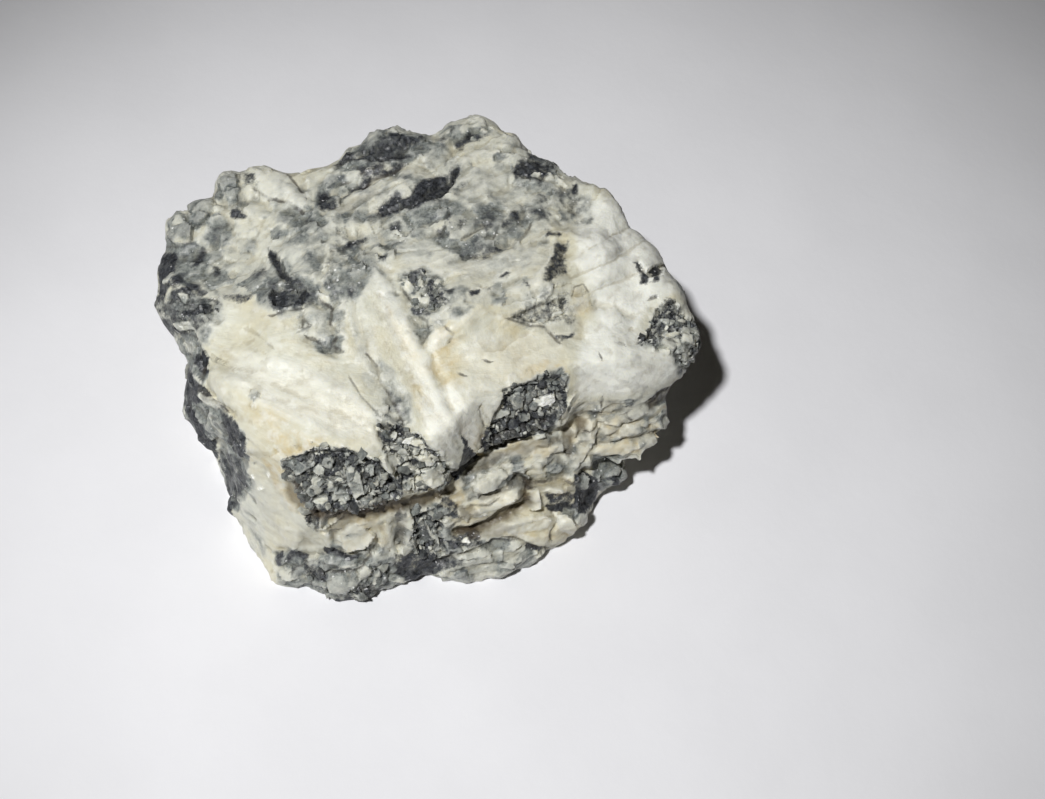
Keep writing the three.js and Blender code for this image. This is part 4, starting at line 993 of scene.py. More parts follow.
def side_distance(points, course):
    """Distance to a course, above nothing on its one side and below on the other."""
    best, side = np.full(len(points), FAR), np.ones(len(points))
    course = np.array(course, float)
    for a, b in zip(course, course[1:]):
        along = b - a
        t = np.clip((points - a) @ along / (along @ along), 0, 1)
        away = points - a - t[:, None] * along
        square = np.sum(away * away, axis=1)
        closer = square < best
        best = np.where(closer, square, best)
        turn = along[0] * away[:, 1] - along[1] * away[:, 0]
        side = np.where(closer, np.where(turn < 0, -1.0, 1.0), side)
    return side * np.sqrt(best)


# where the edge of the body is drawn in or out: place and reach, then how far across and down, in pixels
GRABS = (
    (170, 350, 24, 15, -4), (176, 372, 8, 7, -2), (206, 189, 8, 5, 8), (164, 247, 6, 5, 0),
    (238, 166, 6, 0, 6), (290, 167, 14, 0, 5), (355, 145, 8, 1, 2), (364, 143, 6, 1, 4),
    (340, 161, 6, 2, 4), (182, 209, 8, 4, 3), (435, 134, 8, 0, 5), (564, 172, 8, -3, 4),
    (692, 366, 11, -6, -2), (668, 400, 9, -6, -2), (673, 426, 7, 5, 1), (657, 437, 8, -7, -2),
    (657, 451, 8, 8, 3), (636, 464, 11, 5, 13), (463, 586, 10, 0, 8), (418, 584, 12, 0, 7),
    (374, 601, 9, 0, 5), (510, 579, 10, 0, 5), (183, 375, 7, -4, 0), (165, 320, 9, 4, 0),
    (229, 513, 13, -10, 2), (196, 197, 7, 3, 4), (541, 156, 6, -3, 4), (208, 200, 5, 4, 5),
    (362, 147, 6, 0, 4), (481, 120, 10, 0, -4), (502, 127, 7, 1, 5), (530, 143, 9, -2, 8),
    (640, 224, 26, -10, 9), (674, 262, 24, -7, 5), (696, 304, 20, -7, 3), (684, 388, 14, -5, -5),
    (658, 440, 14, 7, 2), (622, 468, 17, 7, 10), (212, 461, 12, 8, -6), (233, 510, 11, -7, 1),
    (152, 290, 11, 4, 0), (603, 493, 8, -2, -4), (269, 580, 9, 3, -4), (481, 580, 9, 0, -8),
    (387, 592, 6, 0, -4),
)


def grabbed(points):
    """The body with its edge drawn in or out, as seen from the camera."""
    px = to_frame(points)
    depth = (points - CAMERA_PLACE) @ FORWARD / FOCAL
    moved = points.copy()
    for u, v, reach, across, down in GRABS:
        away = np.sum((px - (u, v)) ** 2, axis=1)
        share = np.exp(-away / reach**2) * depth * ramp(points[:, 2], 0.2, 3.0)
        moved += share[:, None] * (across * RIGHT + down * DOWN)
    return moved


# the relief carries the marks up in the frame by about this much, in pixels
MARK_SHIFT = (-0.3, 1.1)
NO_LINE = 9.0  # line distance where no line is near
HAZE = 5.0  # extra softness of the marks furthest back, in pixels

stone = copy_of_stone()
remesh(stone, BASE_VOXEL)
put(stone, grabbed(spread(places(stone), edge_ends(stone), SMOOTHING)))
refine(stone, seen_share(stone, places(stone), normals(stone)))
shown = seen_share(stone, places(stone), normals(stone))
detail = {name: (1.0, DETAIL_SOFTNESS, *BLACK[name][2:]) for name in DETAILED}
refine(stone, shown * strongest(to_frame(places(stone)), detail))
ends = edge_ends(stone)
skin = spread(places(stone), ends, SMOOTHING)
put(stone, skin)
facing_out = unit(spread(normals(stone), ends, 3))
seen = spread(seen_share(stone, skin, facing_out), ends, 3)[:, 0]
pixel = to_frame(skin) - MARK_SHIFT
warp = np.stack(
    (
        1.8 * noise(skin, 1.6, 1) + 1.3 * noise(skin, 0.7, 2),
        1.8 * noise(skin, 1.6, 3) + 1.3 * noise(skin, 0.7, 4),
    ),
    axis=1,
)
ragged = 1.2 * np.stack((noise(skin, 0.45, 5), noise(skin, 0.45, 6)), axis=1)
drawn = pixel + warp + ragged

black = strongest(drawn, BLACK, HAZE)
smoky = strongest(drawn, SMOKY, HAZE)
warm = strongest(drawn, WARM)
snow = strongest(drawn, SNOW)
# painted shade: brown colour deep under the traced edges, where the surface is also lowered
crevice = strongest(drawn, SHADES)
chunky = strongest(drawn, {name: (amount, *BLACK[name][1:]) for name, amount in CHUNKY.items()})
chunk_lift, glint = np.zeros(len(skin)), np.zeros(len(skin))
drift = pixel + 0.45 * warp + 0.5 * ragged
draw = np.random.default_rng(SEED)


def broken_outline(apart, long, wide, turn):
    """How far out each point lies in a six-sided crystal, 1 at its edge, and the lean of its face."""
    angle = np.radians(turn)
    ahead = (apart[:, 0] * np.cos(angle) + apart[:, 1] * np.sin(angle)) / long
    aside = (apart[:, 1] * np.cos(angle) - apart[:, 0] * np.sin(angle)) / wide
    corners = np.radians(np.arange(0, 360, 60) + draw.uniform(-24, 24, 6) + draw.uniform(0, 60))
    sides = ahead[:, None] * np.cos(corners) + aside[:, None] * np.sin(corners)
    reach = np.max(sides / draw.uniform(0.78, 1.0, 6), axis=1)
    slope = draw.normal(0, 0.5, 2)
    return reach, slope[0] * ahead + slope[1] * aside


def set_crystal(u, v, long, wide, turn, tone):
    """One crystal that stands out of the matrix, or below it where it is dark."""
    close = near(drift, ((u, v),), long * 1.7 + 2)
    reach, tilt = broken_outline(drift[close] - (u, v), long, wide, turn)
    face = ramp(1.15 - reach, 0.0, min(0.5, 1.8 / wide))
    rim = np.exp(-(((reach - 1.22) * wide / 1.4) ** 2)) * ramp(black[close], 0.2, 0.5)
    rim *= ramp(noise(skin[close], 0.5, 7), -0.5, 0.3)
    # painted shading: each crystal's tone follows the lean of its face, lighter on one side and darker on
    # the other
    here = tone + 0.10 * np.clip(tilt, -1, 1)
    black[close] = np.maximum(black[close], 0.8 * rim)
    black[close] += face * (np.clip(1 - here / 0.45, 0, 1) ** 0.7 - black[close])
    smoky[close] += face * (np.clip(1.75 - 1.8 * here, 0, 1) - smoky[close])
    snow[close] += face * (ramp(here, 0.86, 1.05) - snow[close])
    # painted glint: the palest crystals are marked to glow white through emission
    glint[close] = np.maximum(glint[close], face * ramp(np.array(tone), 0.93, 1.1))
    chunky[close] *= 1 - face
    height = 0.034 * min(wide, 9.0) * (1 if tone > 0.3 else -0.6)
    chunk_lift[close] += face * (height * (1 + tilt) - chunk_lift[close]) - 0.05 * rim


for crystal in sum(CHUNKS.values(), ()):
    set_crystal(*crystal)

lines = np.full(len(skin), NO_LINE)
shade = np.zeros(len(skin))
for width, dark, *course in CRACKS.values():
    close = near(drawn, course, 12)
    d = side_distance(pixel[close] + 0.45 * warp[close], course)
    nearer = np.abs(d / width) < np.abs(lines[close])
    lines[close[nearer]] = (d / width)[nearer]
    shade[close[nearer]] = dark * ramp(np.abs(d[nearer]), 2.2 + width, 0.9 + width)

# ----------------------------------------------------------------- crystals

draw = np.random.default_rng(SEED + 1)
CRYSTAL_TRIES = 16000
HIDDEN_LENGTH = (1.4, 3.6)  # of the crystals where nothing is traced, in millimetres
HIDDEN_WIDTH = (0.5, 1.1)


def flow(points, outwards):
    """The way in which crystals lie where nothing sets it, along the surface."""
    turn = np.stack([noise(points, 14.0, s) for s in (21, 22, 23)], axis=1)
    turn += np.array((0.25, 0.1, 0.05))
    turn -= outwards * np.sum(turn * outwards, axis=1)[:, None]
    return unit(turn + 1e-6)


def shared_out(points, gaps, reach):
    """For each point the nearest cell, and how far it is from the border, in millimetres."""
    owner = np.empty(len(points), int)
    border = np.empty(len(points))
    for begin in range(0, len(points), BATCH):
        batch = slice(begin, begin + BATCH)
        gap = gaps(points[batch])
        rows = np.arange(len(gap))
        first = np.argmin(gap, axis=1)
        least = gap[rows, first]
        gap[rows, first] = FAR
        owner[batch] = first
        border[batch] = (gap.min(axis=1) - least) * reach[first]
    return owner, border


class Crystals:
    """Elongated cells that share out the surface, as the blades of the rock do."""

    def __init__(self, tries):
        pick = draw.choice(len(skin), tries, replace=False)
        points, outwards, px = skin[pick], facing_out[pick], pixel[pick]
        length = draw.uniform(*HIDDEN_LENGTH, tries)
        width = draw.uniform(*HIDDEN_WIDTH, tries)
        way = flow(points, outwards)
        contrast = np.full(tries, 0.7)
        free = seen[pick] < 0.5
        field = np.full(tries, -1)
        for k, (_, long, wide, vary, (start, finish), fan, outline) in enumerate(FIELDS):
            here = np.flatnonzero(~free & inside(px, outline) & (field < 0))
            field[here] = k
            start, finish = np.array(start, float), np.array(finish, float)
            if fan:
                spot = px[here]
                target = spot + (spot - start)
            else:
                target = px[here] + (finish - start)
            way[here] = self.laid(px[here], target, points[here], outwards[here])
            length[here] = long * draw.uniform(0.6, 1.2, len(here))
            width[here] = wide * draw.uniform(0.6, 1.4, len(here))
            contrast[here] = vary
        side = np.cross(outwards, way)
        lean = draw.normal(0, 0.16, tries)
        way = unit(way * np.cos(lean)[:, None] + side * np.sin(lean)[:, None])
        kept = []
        for i in range(tries):
            if kept:
                d = points[i] - points[kept]
                a = np.sum(d * way[kept], axis=1)
                r = np.sum(d * d, axis=1) - a * a
                gap = (a / (length[kept] * 0.5)) ** 2 + r / (width[kept] * 0.5) ** 2
                if gap.min() < 3.2:
                    continue
            kept.append(i)
        self.points, self.way, self.outwards = points[kept], way[kept], outwards[kept]
        self.side = np.cross(self.outwards, self.way)
        self.length, self.width = length[kept], width[kept]
        self.contrast, self.free = contrast[kept], free[kept]
        self.count = len(kept)

    @staticmethod
    def laid(px, target, points, outwards):
        """A direction drawn in the frame, laid on the surface at each point."""
        step = px + unit(target - px) * 4.0
        x = (step[:, :1] - FRAME_WIDTH / 2) / FOCAL
        y = (step[:, 1:] - FRAME_HEIGHT / 2) / FOCAL
        ray = unit(FORWARD + x * RIGHT + y * DOWN)
        fall = np.minimum(np.sum(ray * outwards, axis=1), -0.15)
        depth = np.sum((points - CAMERA_PLACE) * outwards, axis=1) / fall
        way = CAMERA_PLACE + depth[:, None] * ray - points
        way -= outwards * np.sum(way * outwards, axis=1)[:, None]
        return unit(way)

    def share_out(self, points):
        own_reach = np.sum(self.points * self.way, axis=1)
        own_square = np.sum(self.points**2, axis=1)
        stretch = 1 - (self.width / self.length) ** 2

        def gaps(p):
            square = np.sum(p**2, axis=1)[:, None] + own_square - 2 * p @ self.points.T
            reach = p @ self.way.T - own_reach
            return np.sqrt(np.maximum(square - stretch * reach**2, 0)) / self.width

        return shared_out(points, gaps, self.width * 0.5)


crystals = Crystals(CRYSTAL_TRIES)
owner, border = crystals.share_out(shaken(skin, 1.3, 31, 0.22))
offset = skin - crystals.points[owner]
along = np.sum(offset * crystals.way[owner], axis=1)
across = np.sum(offset * crystals.side[owner], axis=1)

contrast = crystals.contrast[owner]
crystal_height = draw.normal(0, 0.06, crystals.count)[owner]
crystal_lean = draw.normal(0, 0.30, crystals.count)[owner]
crystal_dip = draw.normal(0, 0.06, crystals.count)[owner]
crystal_tone = draw.uniform(-1, 1, crystals.count)
crystal_name = draw.uniform(0, 60, crystals.count)

# streaks that run with the crystals of each field, from one crystal to the next
streaks = np.zeros(len(skin))
field_share = np.full(len(skin), 1e-6)
for number, (*_, (start, finish), _, outline) in enumerate(FIELDS):
    here = filled(drawn, outline, 20)
    near_here = np.flatnonzero(here > 0)
    middle = np.mean(np.array(outline, float), axis=0)[None]
    goal = middle + (np.array(finish, float) - np.array(start, float))
    centre = near_here[np.argmin(np.sum((pixel[near_here] - middle) ** 2, axis=1))]
    way = Crystals.laid(middle, goal, skin[centre][None], facing_out[centre][None])[0]
    p = skin[near_here]
    run = p @ way
    squeezed = p - 0.80 * run[:, None] * way
    value = layered_noise(squeezed, 0.85, 90 + 5 * number, 3)
    streaks[near_here] += here[near_here] * value
    field_share[near_here] += here[near_here]
elsewhere = layered_noise(skin, 0.9, 88, 3)
streaks = np.where(field_share > 0.02, streaks / np.maximum(field_share, 0.3), elsewhere)

# the sides and the back, where nothing is traced, get their own dark and glassy crystals
zone = layered_noise(crystals.points, 7.0, 41, 2)
haze = layered_noise(crystals.points, 6.0, 51, 2)
luck = draw.uniform(0, 1, crystals.count)
dark_crystal = (zone + 0.35 * (luck - 0.5) > 0.22)
grey_crystal = (haze + 0.5 * (luck - 0.5) > 0.12)
hidden = 1 - ramp(spread(seen, ends, 16)[:, 0], 0.03, 0.18)
seam = np.exp(-((border / 0.14) ** 2))
zone_here = layered_noise(skin, 7.0, 41, 2)
hidden_black = np.where(dark_crystal[owner], 0.86, 0.0)
hidden_black = np.maximum(hidden_black, seam * ramp(zone_here, -0.25, 0.25) * 0.75)
hidden_black = np.maximum(hidden_black, 0.45 * ramp(zone_here, 0.0, 0.5))
hidden_smoky = np.maximum(np.where(grey_crystal[owner], 0.6, 0.1), 0.6 * hidden_black)
hidden_warm = 0.6 * ramp(layered_noise(skin, 8.0, 61, 2), 0.1, 0.7)
black = np.clip(black + 0.14 * streaks * ramp(black, 0.05, 0.4) * (1 - ramp(black, 0.85, 1.0)), 0, 1)
smoky = np.clip(smoky + 0.13 * streaks * ramp(smoky, 0.02, 0.3), 0, 1)
mottle = layered_noise(skin, 1.3, 73, 3)
smoky = np.clip(smoky + 0.25 * mottle * ramp(smoky, 0.05, 0.4), 0, 1)
black = np.clip(black + 0.22 * mottle * ramp(black, 0.05, 0.3) * (1 - ramp(black, 0.8, 1.0)), 0, 1)
black = black * (1 - hidden) + hidden_black * hidden
smoky = smoky * (1 - hidden) + hidden_smoky * hidden
warm = warm * (1 - hidden) + hidden_warm * hidden
snow *= 1 - hidden
crevice *= 1 - hidden
chunk_lift *= 1 - hidden
glint *= 1 - hidden
chunky = chunky * (1 - hidden) + 0.5 * hidden * ramp(hidden_black, 0.3, 0.8)
lines = np.where(hidden > 0.5, NO_LINE, lines)

# ----------------------------------------------------------------- grains of the matrix

hollow = np.zeros(len(skin))
for depth, softness, *outline in HOLLOWS.values():
    hollow = np.maximum(hollow, depth * filled(drawn, outline, softness))
hollow *= 1 - hidden
hollow = np.maximum(hollow, hidden * np.where(dark_crystal[owner], ramp(border, 0.0, 0.5) * 0.35, 0))
granular = np.maximum(ramp(black, 0.25, 0.6), ramp(hollow, 0.1, 0.3))
chunky_here = ramp(chunky, 0.15, 0.5)


class Grains:
    """Blocky grains where the share is high: each one a small tilted flat face."""

    def __init__(self, share, tries, low, high):
        pool = np.flatnonzero(share > 0.2)
        pick = draw.choice(pool, min(tries, len(pool)), replace=False)
        size = low + (high - low) * draw.uniform(0, 1, len(pick)) ** 2
        kept = []
        for n, i in enumerate(pick):
            if kept:
                d = np.sum((skin[i] - skin[pick[kept]]) ** 2, axis=1)
                if np.any(d < (0.62 * (size[n] + size[kept])) ** 2):
                    continue
            kept.append(n)
        self.points = skin[pick[kept]]
        self.size = size[kept]
        self.count = len(kept)

    def share_out(self, points):
        own_square = np.sum(self.points**2, axis=1)

        def gaps(p):
            square = np.sum(p**2, axis=1)[:, None] + own_square - 2 * p @ self.points.T
            return np.sqrt(np.maximum(square, 0)) / self.size

        return shared_out(points, gaps, self.size)


grains = Grains(chunky, 9000, 0.24, 0.80)
grain_owner, grain_border = grains.share_out(shaken(skin, 0.5, 35, 0.06))
grain_slope = draw.normal(0, 0.42, (grains.count, 3))[grain_owner]
grain_step = draw.normal(0, 0.10, grains.count)[grain_owner]
grain_lift = np.sum((skin - grains.points[grain_owner]) * grain_slope, axis=1) + grain_step
grain_lift = np.clip(grain_lift, -0.28, 0.28) - 0.10 * np.exp(-((grain_border / 0.08) ** 2))
grain_lift *= chunky_here
grain_tone = draw.uniform(0, 1, grains.count)[grain_owner]

glassy = ramp(smoky - 0.6 * snow - chunky, 0.15, 0.5)
chips = Grains(glassy, 5200, 0.7, 2.2)
chip_owner, chip_border = chips.share_out(shaken(skin, 1.1, 38, 0.25))
chip_slope = draw.normal(0, 0.15, (chips.count, 3))[chip_owner]
chip_lift = np.sum((skin - chips.points[chip_owner]) * chip_slope, axis=1)
chip_lift = np.clip(chip_lift + draw.normal(0, 0.05, chips.count)[chip_owner], -0.16, 0.16)
chip_lift = glassy * (chip_lift - 0.05 * np.exp(-((chip_border / 0.12) ** 2)))
chip_tone = draw.uniform(-1, 1, chips.count)[chip_owner]
smoky = np.clip(smoky + 0.34 * glassy * chip_tone, 0, 1)
black = np.maximum(black, 0.34 * glassy * ramp(chip_tone, 0.75, 0.95) * ramp(smoky, 0.3, 0.7))

# ----------------------------------------------------------------- relief

# stepped layers of a zone: height in millimetres, spacing in pixels, course of the layers, outline
LAYERS = (
    (0.22, 13, ((575, 466), (660, 430)), ((566, 424), (600, 404), (664, 384), (676, 430), (642, 460),
     (598, 460), (578, 474))),
    (0.14, 10, ((450, 500), (580, 466)), ((440, 500), (480, 452), (566, 436), (584, 462), (590, 512),
     (520, 530), (452, 530))),
    (0.14, 9, ((436, 570), (536, 545)), ((426, 562), (480, 540), (536, 548), (524, 572), (440, 584))),
    (0.12, 16, ((440, 240), (560, 196)), ((436, 240), (450, 204), (560, 186), (596, 200), (556, 280),
     (450, 300), (404, 262))),
    (0.13, 17, ((430, 190), (520, 150)), ((340, 200), (440, 140), (520, 130), (545, 190), (500, 200),
     (420, 204))),
    (0.08, 22, ((240, 250), (330, 214)), ((204, 250), (240, 204), (340, 200), (400, 226), (380, 262),
     (240, 290))),
)


def stepped(points, height, spacing, course, seed):
    """Layers that each rise towards their lower edge and then drop."""
    (x0, y0), (x1, y1) = course
    way = unit(np.array((x1 - x0, y1 - y0), float))
    down = np.array((-way[1], way[0])) if way[0] > 0 else np.array((way[1], -way[0]))
    reach = points @ down / spacing + 0.55 * noise(skin, 4.0, seed) + 0.25 * noise(skin, 1.5, seed + 1)
    layer = np.floor(reach)
    part = reach - layer
    strength = 0.35 + 0.65 * np.abs(np.sin(layer * 12.9898 + seed))
    wave = np.where(part < 0.84, part / 0.84, (1 - part) / 0.16)
    broken = 0.5 + 0.5 * ramp(noise(skin, 2.6, seed + 2), -0.5, 0.3)
    return height * strength * broken * (wave - 0.5)


uneven = ramp(layered_noise(skin, 5.0, 65, 2), -0.5, 0.4)
lift = crystal_height * (0.4 + 0.6 * uneven) + np.clip(crystal_lean * across, -0.2, 0.2)
lift += np.clip(crystal_dip * along, -0.16, 0.16)
lift *= contrast * (1 - 0.45 * snow)
lift *= 1 - 0.6 * granular
folds = np.zeros(len(skin))
for height, half_width, *course in FOLDS:
    folds += height * stroke(drawn, course, half_width)
lift += folds * (1 - hidden)
for number, (height, spacing, course, outline) in enumerate(LAYERS):
    steps = stepped(pixel, height, spacing, course, 120 + 3 * number)
    lift += steps * filled(drawn, outline, 12) * (1 - hidden)
lift -= hollow
lift -= 0.35 * crevice
lift += grain_lift + chunk_lift + chip_lift
lift += 0.10 * layered_noise(skin, 2.4, 71, 3)
lift -= 0.10 * np.exp(-(lines**2)) * (1 - hidden)
layers = np.abs(noise(skin * np.array((0.5, 0.5, 2.2)), 2.2, 81))
lift -= hidden * 0.28 * np.exp(-((layers / 0.10) ** 2)) * ramp(skin[:, 2], 0.8, 2.0)

shaped = skin + facing_out * (lift - 0.12 * (1 - hidden))[:, None]
low = np.array(CAD_BOX[0]) / MM
high = np.array(CAD_BOX[1]) / MM
shaped = np.clip(shaped, low, high)
shaped[skin[:, 2] < 0.25, 2] = np.minimum(shaped[skin[:, 2] < 0.25, 2], 0.05)
put(stone, shaped)
# how far the surface lies below its neighbours; it drives painted shade in valleys and painted highlights on
# ridges
valley = np.sum((spread(shaped, ends, 10) - shaped) * facing_out, axis=1)
wide_valley = np.sum((spread(shaped, ends, 50) - shaped) * facing_out, axis=1)


def store(name, values, mesh=stone.data):
    values = np.asarray(values, np.float32)
    kind = "FLOAT" if values.ndim == 1 else "FLOAT_VECTOR"
    layer = mesh.attributes.new(name, kind, "POINT")
    layer.data.foreach_set("value" if kind == "FLOAT" else "vector", values.ravel())


store("graphite", black)
store("smoky", smoky)
store("warm", warm)
store("snow", snow)
store("line_distance", np.clip(lines, -3, 3))
store("line_shade", shade * (1 - hidden))
store("tone", crystal_tone[owner] * contrast)
store("grain", grain_tone)
store("grain_border", np.clip(grain_border, 0, 1))
store("fibre", np.stack((along, across, crystal_name[owner]), axis=1))
store("chip_border", np.clip(chip_border, 0, 1) + (1 - glassy))
store("seam", seam)
store("streaks", np.clip(streaks, -1, 1))
store("chunky", chunky)
store("glint", glint)
store("crevice", crevice)
store("valley", np.clip(valley / 0.10 + wide_valley / 0.35, -1, 1))

# ----------------------------------------------------------------- finishes


class Reading:
    """A value that changes over a surface. Arithmetic on it adds Math nodes."""

    def __init__(self, finish, socket):
        self.finish = finish
        self.socket = socket

    def maths(self, operation, *operands):
        inputs = dict(enumerate(operands))
        return self.finish.node("ShaderNodeMath", {"operation": operation}, inputs)

    def __add__(self, other):
        return self.maths("ADD", self, other)

    def __sub__(self, other):
        return self.maths("SUBTRACT", self, other)

    def __rsub__(self, other):
        return self.maths("SUBTRACT", other, self)

    def __mul__(self, other):
        return self.maths("MULTIPLY", self, other)

    def __truediv__(self, other):
        return self.maths("DIVIDE", self, other)

    __radd__ = __add__
    __rmul__ = __mul__

    def at_least(self, other):
        return self.maths("MAXIMUM", self, other)


class Finish:
    """A material, with one method for its nodes."""

    def __init__(self, name):
        self.material = bpy.data.materials.new(name)
        self.material.use_nodes = True
        self.tree = self.material.node_tree
        self.tree.nodes.clear()

    def node(self, kind, settings=None, inputs=None, output=0):
        made = self.tree.nodes.new(kind)
        for key, value in (settings or {}).items():
            setattr(made, key, value)
        for key, value in (inputs or {}).items():
            if isinstance(value, Reading):
                self.tree.links.new(value.socket, made.inputs[key])
            else:
                made.inputs[key].default_value = value
        return Reading(self, made.outputs[output]) if made.outputs else None

    def attribute(self, name, output="Fac"):
        return self.node("ShaderNodeAttribute", {"attribute_name": name}, output=output)

    def noise(self, where, scale, detail=3.0, roughness=0.55):
        settings = {"noise_dimensions": "3D"}
        inputs = {"Vector": where, "Scale": scale, "Detail": detail, "Roughness": roughness}
        return self.node("ShaderNodeTexNoise", settings, inputs)

    def cells(self, where, scale, output="Distance", randomness=1.0, feature="F1"):
        inputs = {"Vector": where, "Scale": scale, "Randomness": randomness}
        return self.node("ShaderNodeTexVoronoi", {"feature": feature}, inputs, output)

    def ramp(self, value, low, high, to_low=0.0, to_high=1.0):
        inputs = {"Value": value, "From Min": low, "From Max": high, "To Min": to_low, "To Max": to_high}
        return self.node("ShaderNodeMapRange", {"interpolation_type": "SMOOTHSTEP"}, inputs)

    def blend(self, share, first, second, how="MIX"):
        settings = {"data_type": "RGBA", "blend_type": how, "clamp_factor": True}
        return self.node("ShaderNodeMix", settings, {0: share, 6: first, 7: second}, 2)

    def vector(self, operation, first, second):
        return self.node("ShaderNodeVectorMath", {"operation": operation}, {0: first, 1: second})

    def scaled(self, vector, amount):
        return self.node("ShaderNodeVectorMath", {"operation": "SCALE"}, {0: vector, 3: amount})

    def triple(self, x, y, z):
        return self.node("ShaderNodeCombineXYZ", None, {0: x, 1: y, 2: z})

    def surface(self, **inputs):
        named = {key.replace("_", " "): value for key, value in inputs.items()}
        shader = self.node("ShaderNodeBsdfPrincipled", None, named)
        self.node("ShaderNodeOutputMaterial", None, {"Surface": shader})


def colour(red, green, blue):
    """A colour given as 0 to 255 on a screen, as the shader takes it."""
    share = np.array((red, green, blue)) / 255
    linear = np.where(share <= 0.04045, share / 12.92, ((share + 0.055) / 1.055) ** 2.4)
    return (*[float(c) for c in linear], 1.0)


class StoneFinish(Finish):
    """Pale, grey and black mineral, shared out by the values stored on the skin."""

    def __init__(self):
        super().__init__("pinolite_rock")
        coordinates = self.node("ShaderNodeTexCoord", output="Object")
        self.place = self.vector("MULTIPLY", coordinates, (1 / MM,) * 3)
        self.read_skin()
        self.read_blades()
        self.read_patterns()
        body = self.grey_mineral(self.stained(self.pale_mineral()))
        body = self.shaded(self.parted(self.black_mineral(body)))
        self.surface(
            Base_Color=body,
            Roughness=self.roughness(),
            Normal=self.relief(),
            # painted glints: white emission on scattered tiny faces and on the palest crystals
            Emission_Color=self.blend(self.painted_glints(), colour(0, 0, 0), colour(255, 255, 255)),
            Emission_Strength=0.42,
            Specular_IOR_Level=0.5,
            Subsurface_Weight=0.3,
            Subsurface_Radius=(1.0, 0.92, 0.72),
            Subsurface_Scale=0.0007,
        )

    def parts(self, kind, whole):
        """The three numbers of a colour or of a vector, each as a value."""
        outputs = self.node(kind, None, {0: whole}).socket.node.outputs
        return [Reading(self, outputs[n]) for n in range(3)]

    def read_skin(self):
        self.graphite, self.smoky = self.attribute("graphite"), self.attribute("smoky")
        self.warm, self.snow = self.attribute("warm"), self.attribute("snow")
        self.tone, self.seam = self.attribute("tone"), self.attribute("seam")
        self.grain, self.chunky = self.attribute("grain"), self.attribute("chunky")
        self.crevice, self.valley = self.attribute("crevice"), self.attribute("valley")

    def read_blades(self):
        """Streaks and hairs that run along each crystal and stop short of its border."""
        fibre = self.attribute("fibre", "Vector")
        along, across, name = self.parts("ShaderNodeSeparateXYZ", fibre)
        clear = (1 - self.ramp(self.seam, 0.15, 0.7)) * self.ramp(self.smoky, 0.15, 0.7, 1.0, 0.25)
        streaks = self.noise(self.triple(along * 0.45, across * 2.2, name), 1.0, 3.0, 0.6)
        hairs = self.noise(self.triple(along * 0.8, across * 6.5, name), 1.0, 2.0, 0.6)
        self.streak = (streaks - 0.5) * clear + 0.5
        self.hair = (hairs - 0.5) * clear + 0.5
        self.blades = self.cells(self.triple(along * 0.42, across * 1.5, name), 1.0, "Color")
        self.blade = self.parts("ShaderNodeSeparateColor", self.blades)[0]

    def read_patterns(self):
        """Patterns in the rock, from the broadest to the finest."""
        self.broad = self.noise(self.place, 0.22, 3.0, 0.55)
        self.patchy = self.noise(self.place, 0.42, 3.0, 0.55)
        self.gaps = self.noise(self.place, 0.9, 2.0)
        self.medium = self.noise(self.place, 1.1, 3.0, 0.6)
        self.lumps = self.noise(self.place, 2.0, 3.0, 0.62)
        self.fine = self.noise(self.place, 3.6, 3.0, 0.65)
        self.dust = self.noise(self.place, 9.0, 2.0, 0.6)
        self.chips = self.cells(self.place, 2.6, "Color")
        self.chip, self.other_chip, _ = self.parts("ShaderNodeSeparateColor", self.chips)

    def pale_mineral(self):
        pale = self.blend(self.ramp(self.broad, 0.38, 0.62), colour(216, 212, 189), colour(220, 220, 205))
        pale = self.blend(self.ramp(self.streak, 0.42, 0.72, 0.0, 0.26), pale, colour(208, 205, 184))
        pale = self.blend(self.ramp(self.hair, 0.52, 0.72, 0.0, 0.32), pale, colour(233, 233, 222))
        pale = self.blend(self.ramp(self.tone, -0.6, 0.8, 0.0, 0.16), pale, colour(196, 195, 178))
        return self.blend(self.ramp(self.blade, 0.55, 1.0, 0.0, 0.15), pale, colour(202, 200, 182))

    def stained(self, pale):
        """Iron stain, the whitest zones, and the borders between crystals."""
        mottled = self.ramp(self.patchy + (self.streak - 0.5) * 0.5, 0.46, 0.70, 0.0, 0.30)
        mottled = mottled * self.ramp(self.smoky, 0.05, 0.4, 1.0, 0.15)
        pale = self.blend(mottled * (1 - self.snow * 0.7), pale, colour(206, 193, 150))
        uneven = 0.55 + (self.medium - 0.5) * 1.6 + (self.patchy - 0.5) * 1.6 + (self.streak - 0.5) * 0.5
        stain = self.warm * uneven
        pale = self.blend(self.ramp(stain, 0.0, 0.75, 0.0, 0.80), pale, colour(204, 183, 130))
        pale = self.blend(self.snow * 0.8, pale, colour(244, 245, 237))
        dark_border = self.seam * self.ramp(self.gaps, 0.50, 0.62) * 0.30
        pale = self.blend(dark_border, pale, colour(166, 156, 130))
        white_border = self.seam * self.ramp(self.noise(self.place, 0.8, 2.0), 0.48, 0.36) * 0.5
        return self.blend(white_border, pale, colour(236, 236, 227))

    def grey_mineral(self, pale):
        """Glassy grey over the pale mineral, with small dark flecks."""
        self.haze = self.smoky + (self.streak - 0.5) * 0.22 + (self.medium - 0.5) * 0.75
        self.haze = self.haze + (self.patchy - 0.5) * 0.5 + self.tone * 0.10
        cloud = self.fine * 0.6 + self.medium * 0.4 + self.attribute("streaks") * -0.05
        grey = self.blend(self.ramp(cloud, 0.34, 0.64), colour(88, 93, 94), colour(152, 156, 150))
        pale = self.blend(self.ramp(self.smoky, 0.0, 0.3, 0.0, 0.6), pale, colour(212, 213, 203))
        body = self.blend(self.ramp(self.haze, 0.12, 0.88), pale, grey)
        flecks = self.ramp(self.fine * 0.5 + self.lumps * 0.3 + self.dust * 0.2, 0.57, 0.64)
        flecks = flecks * self.ramp(self.smoky, 0.2, 0.6, 0.0, 0.55)
        return self.blend(flecks, body, colour(74, 78, 78))

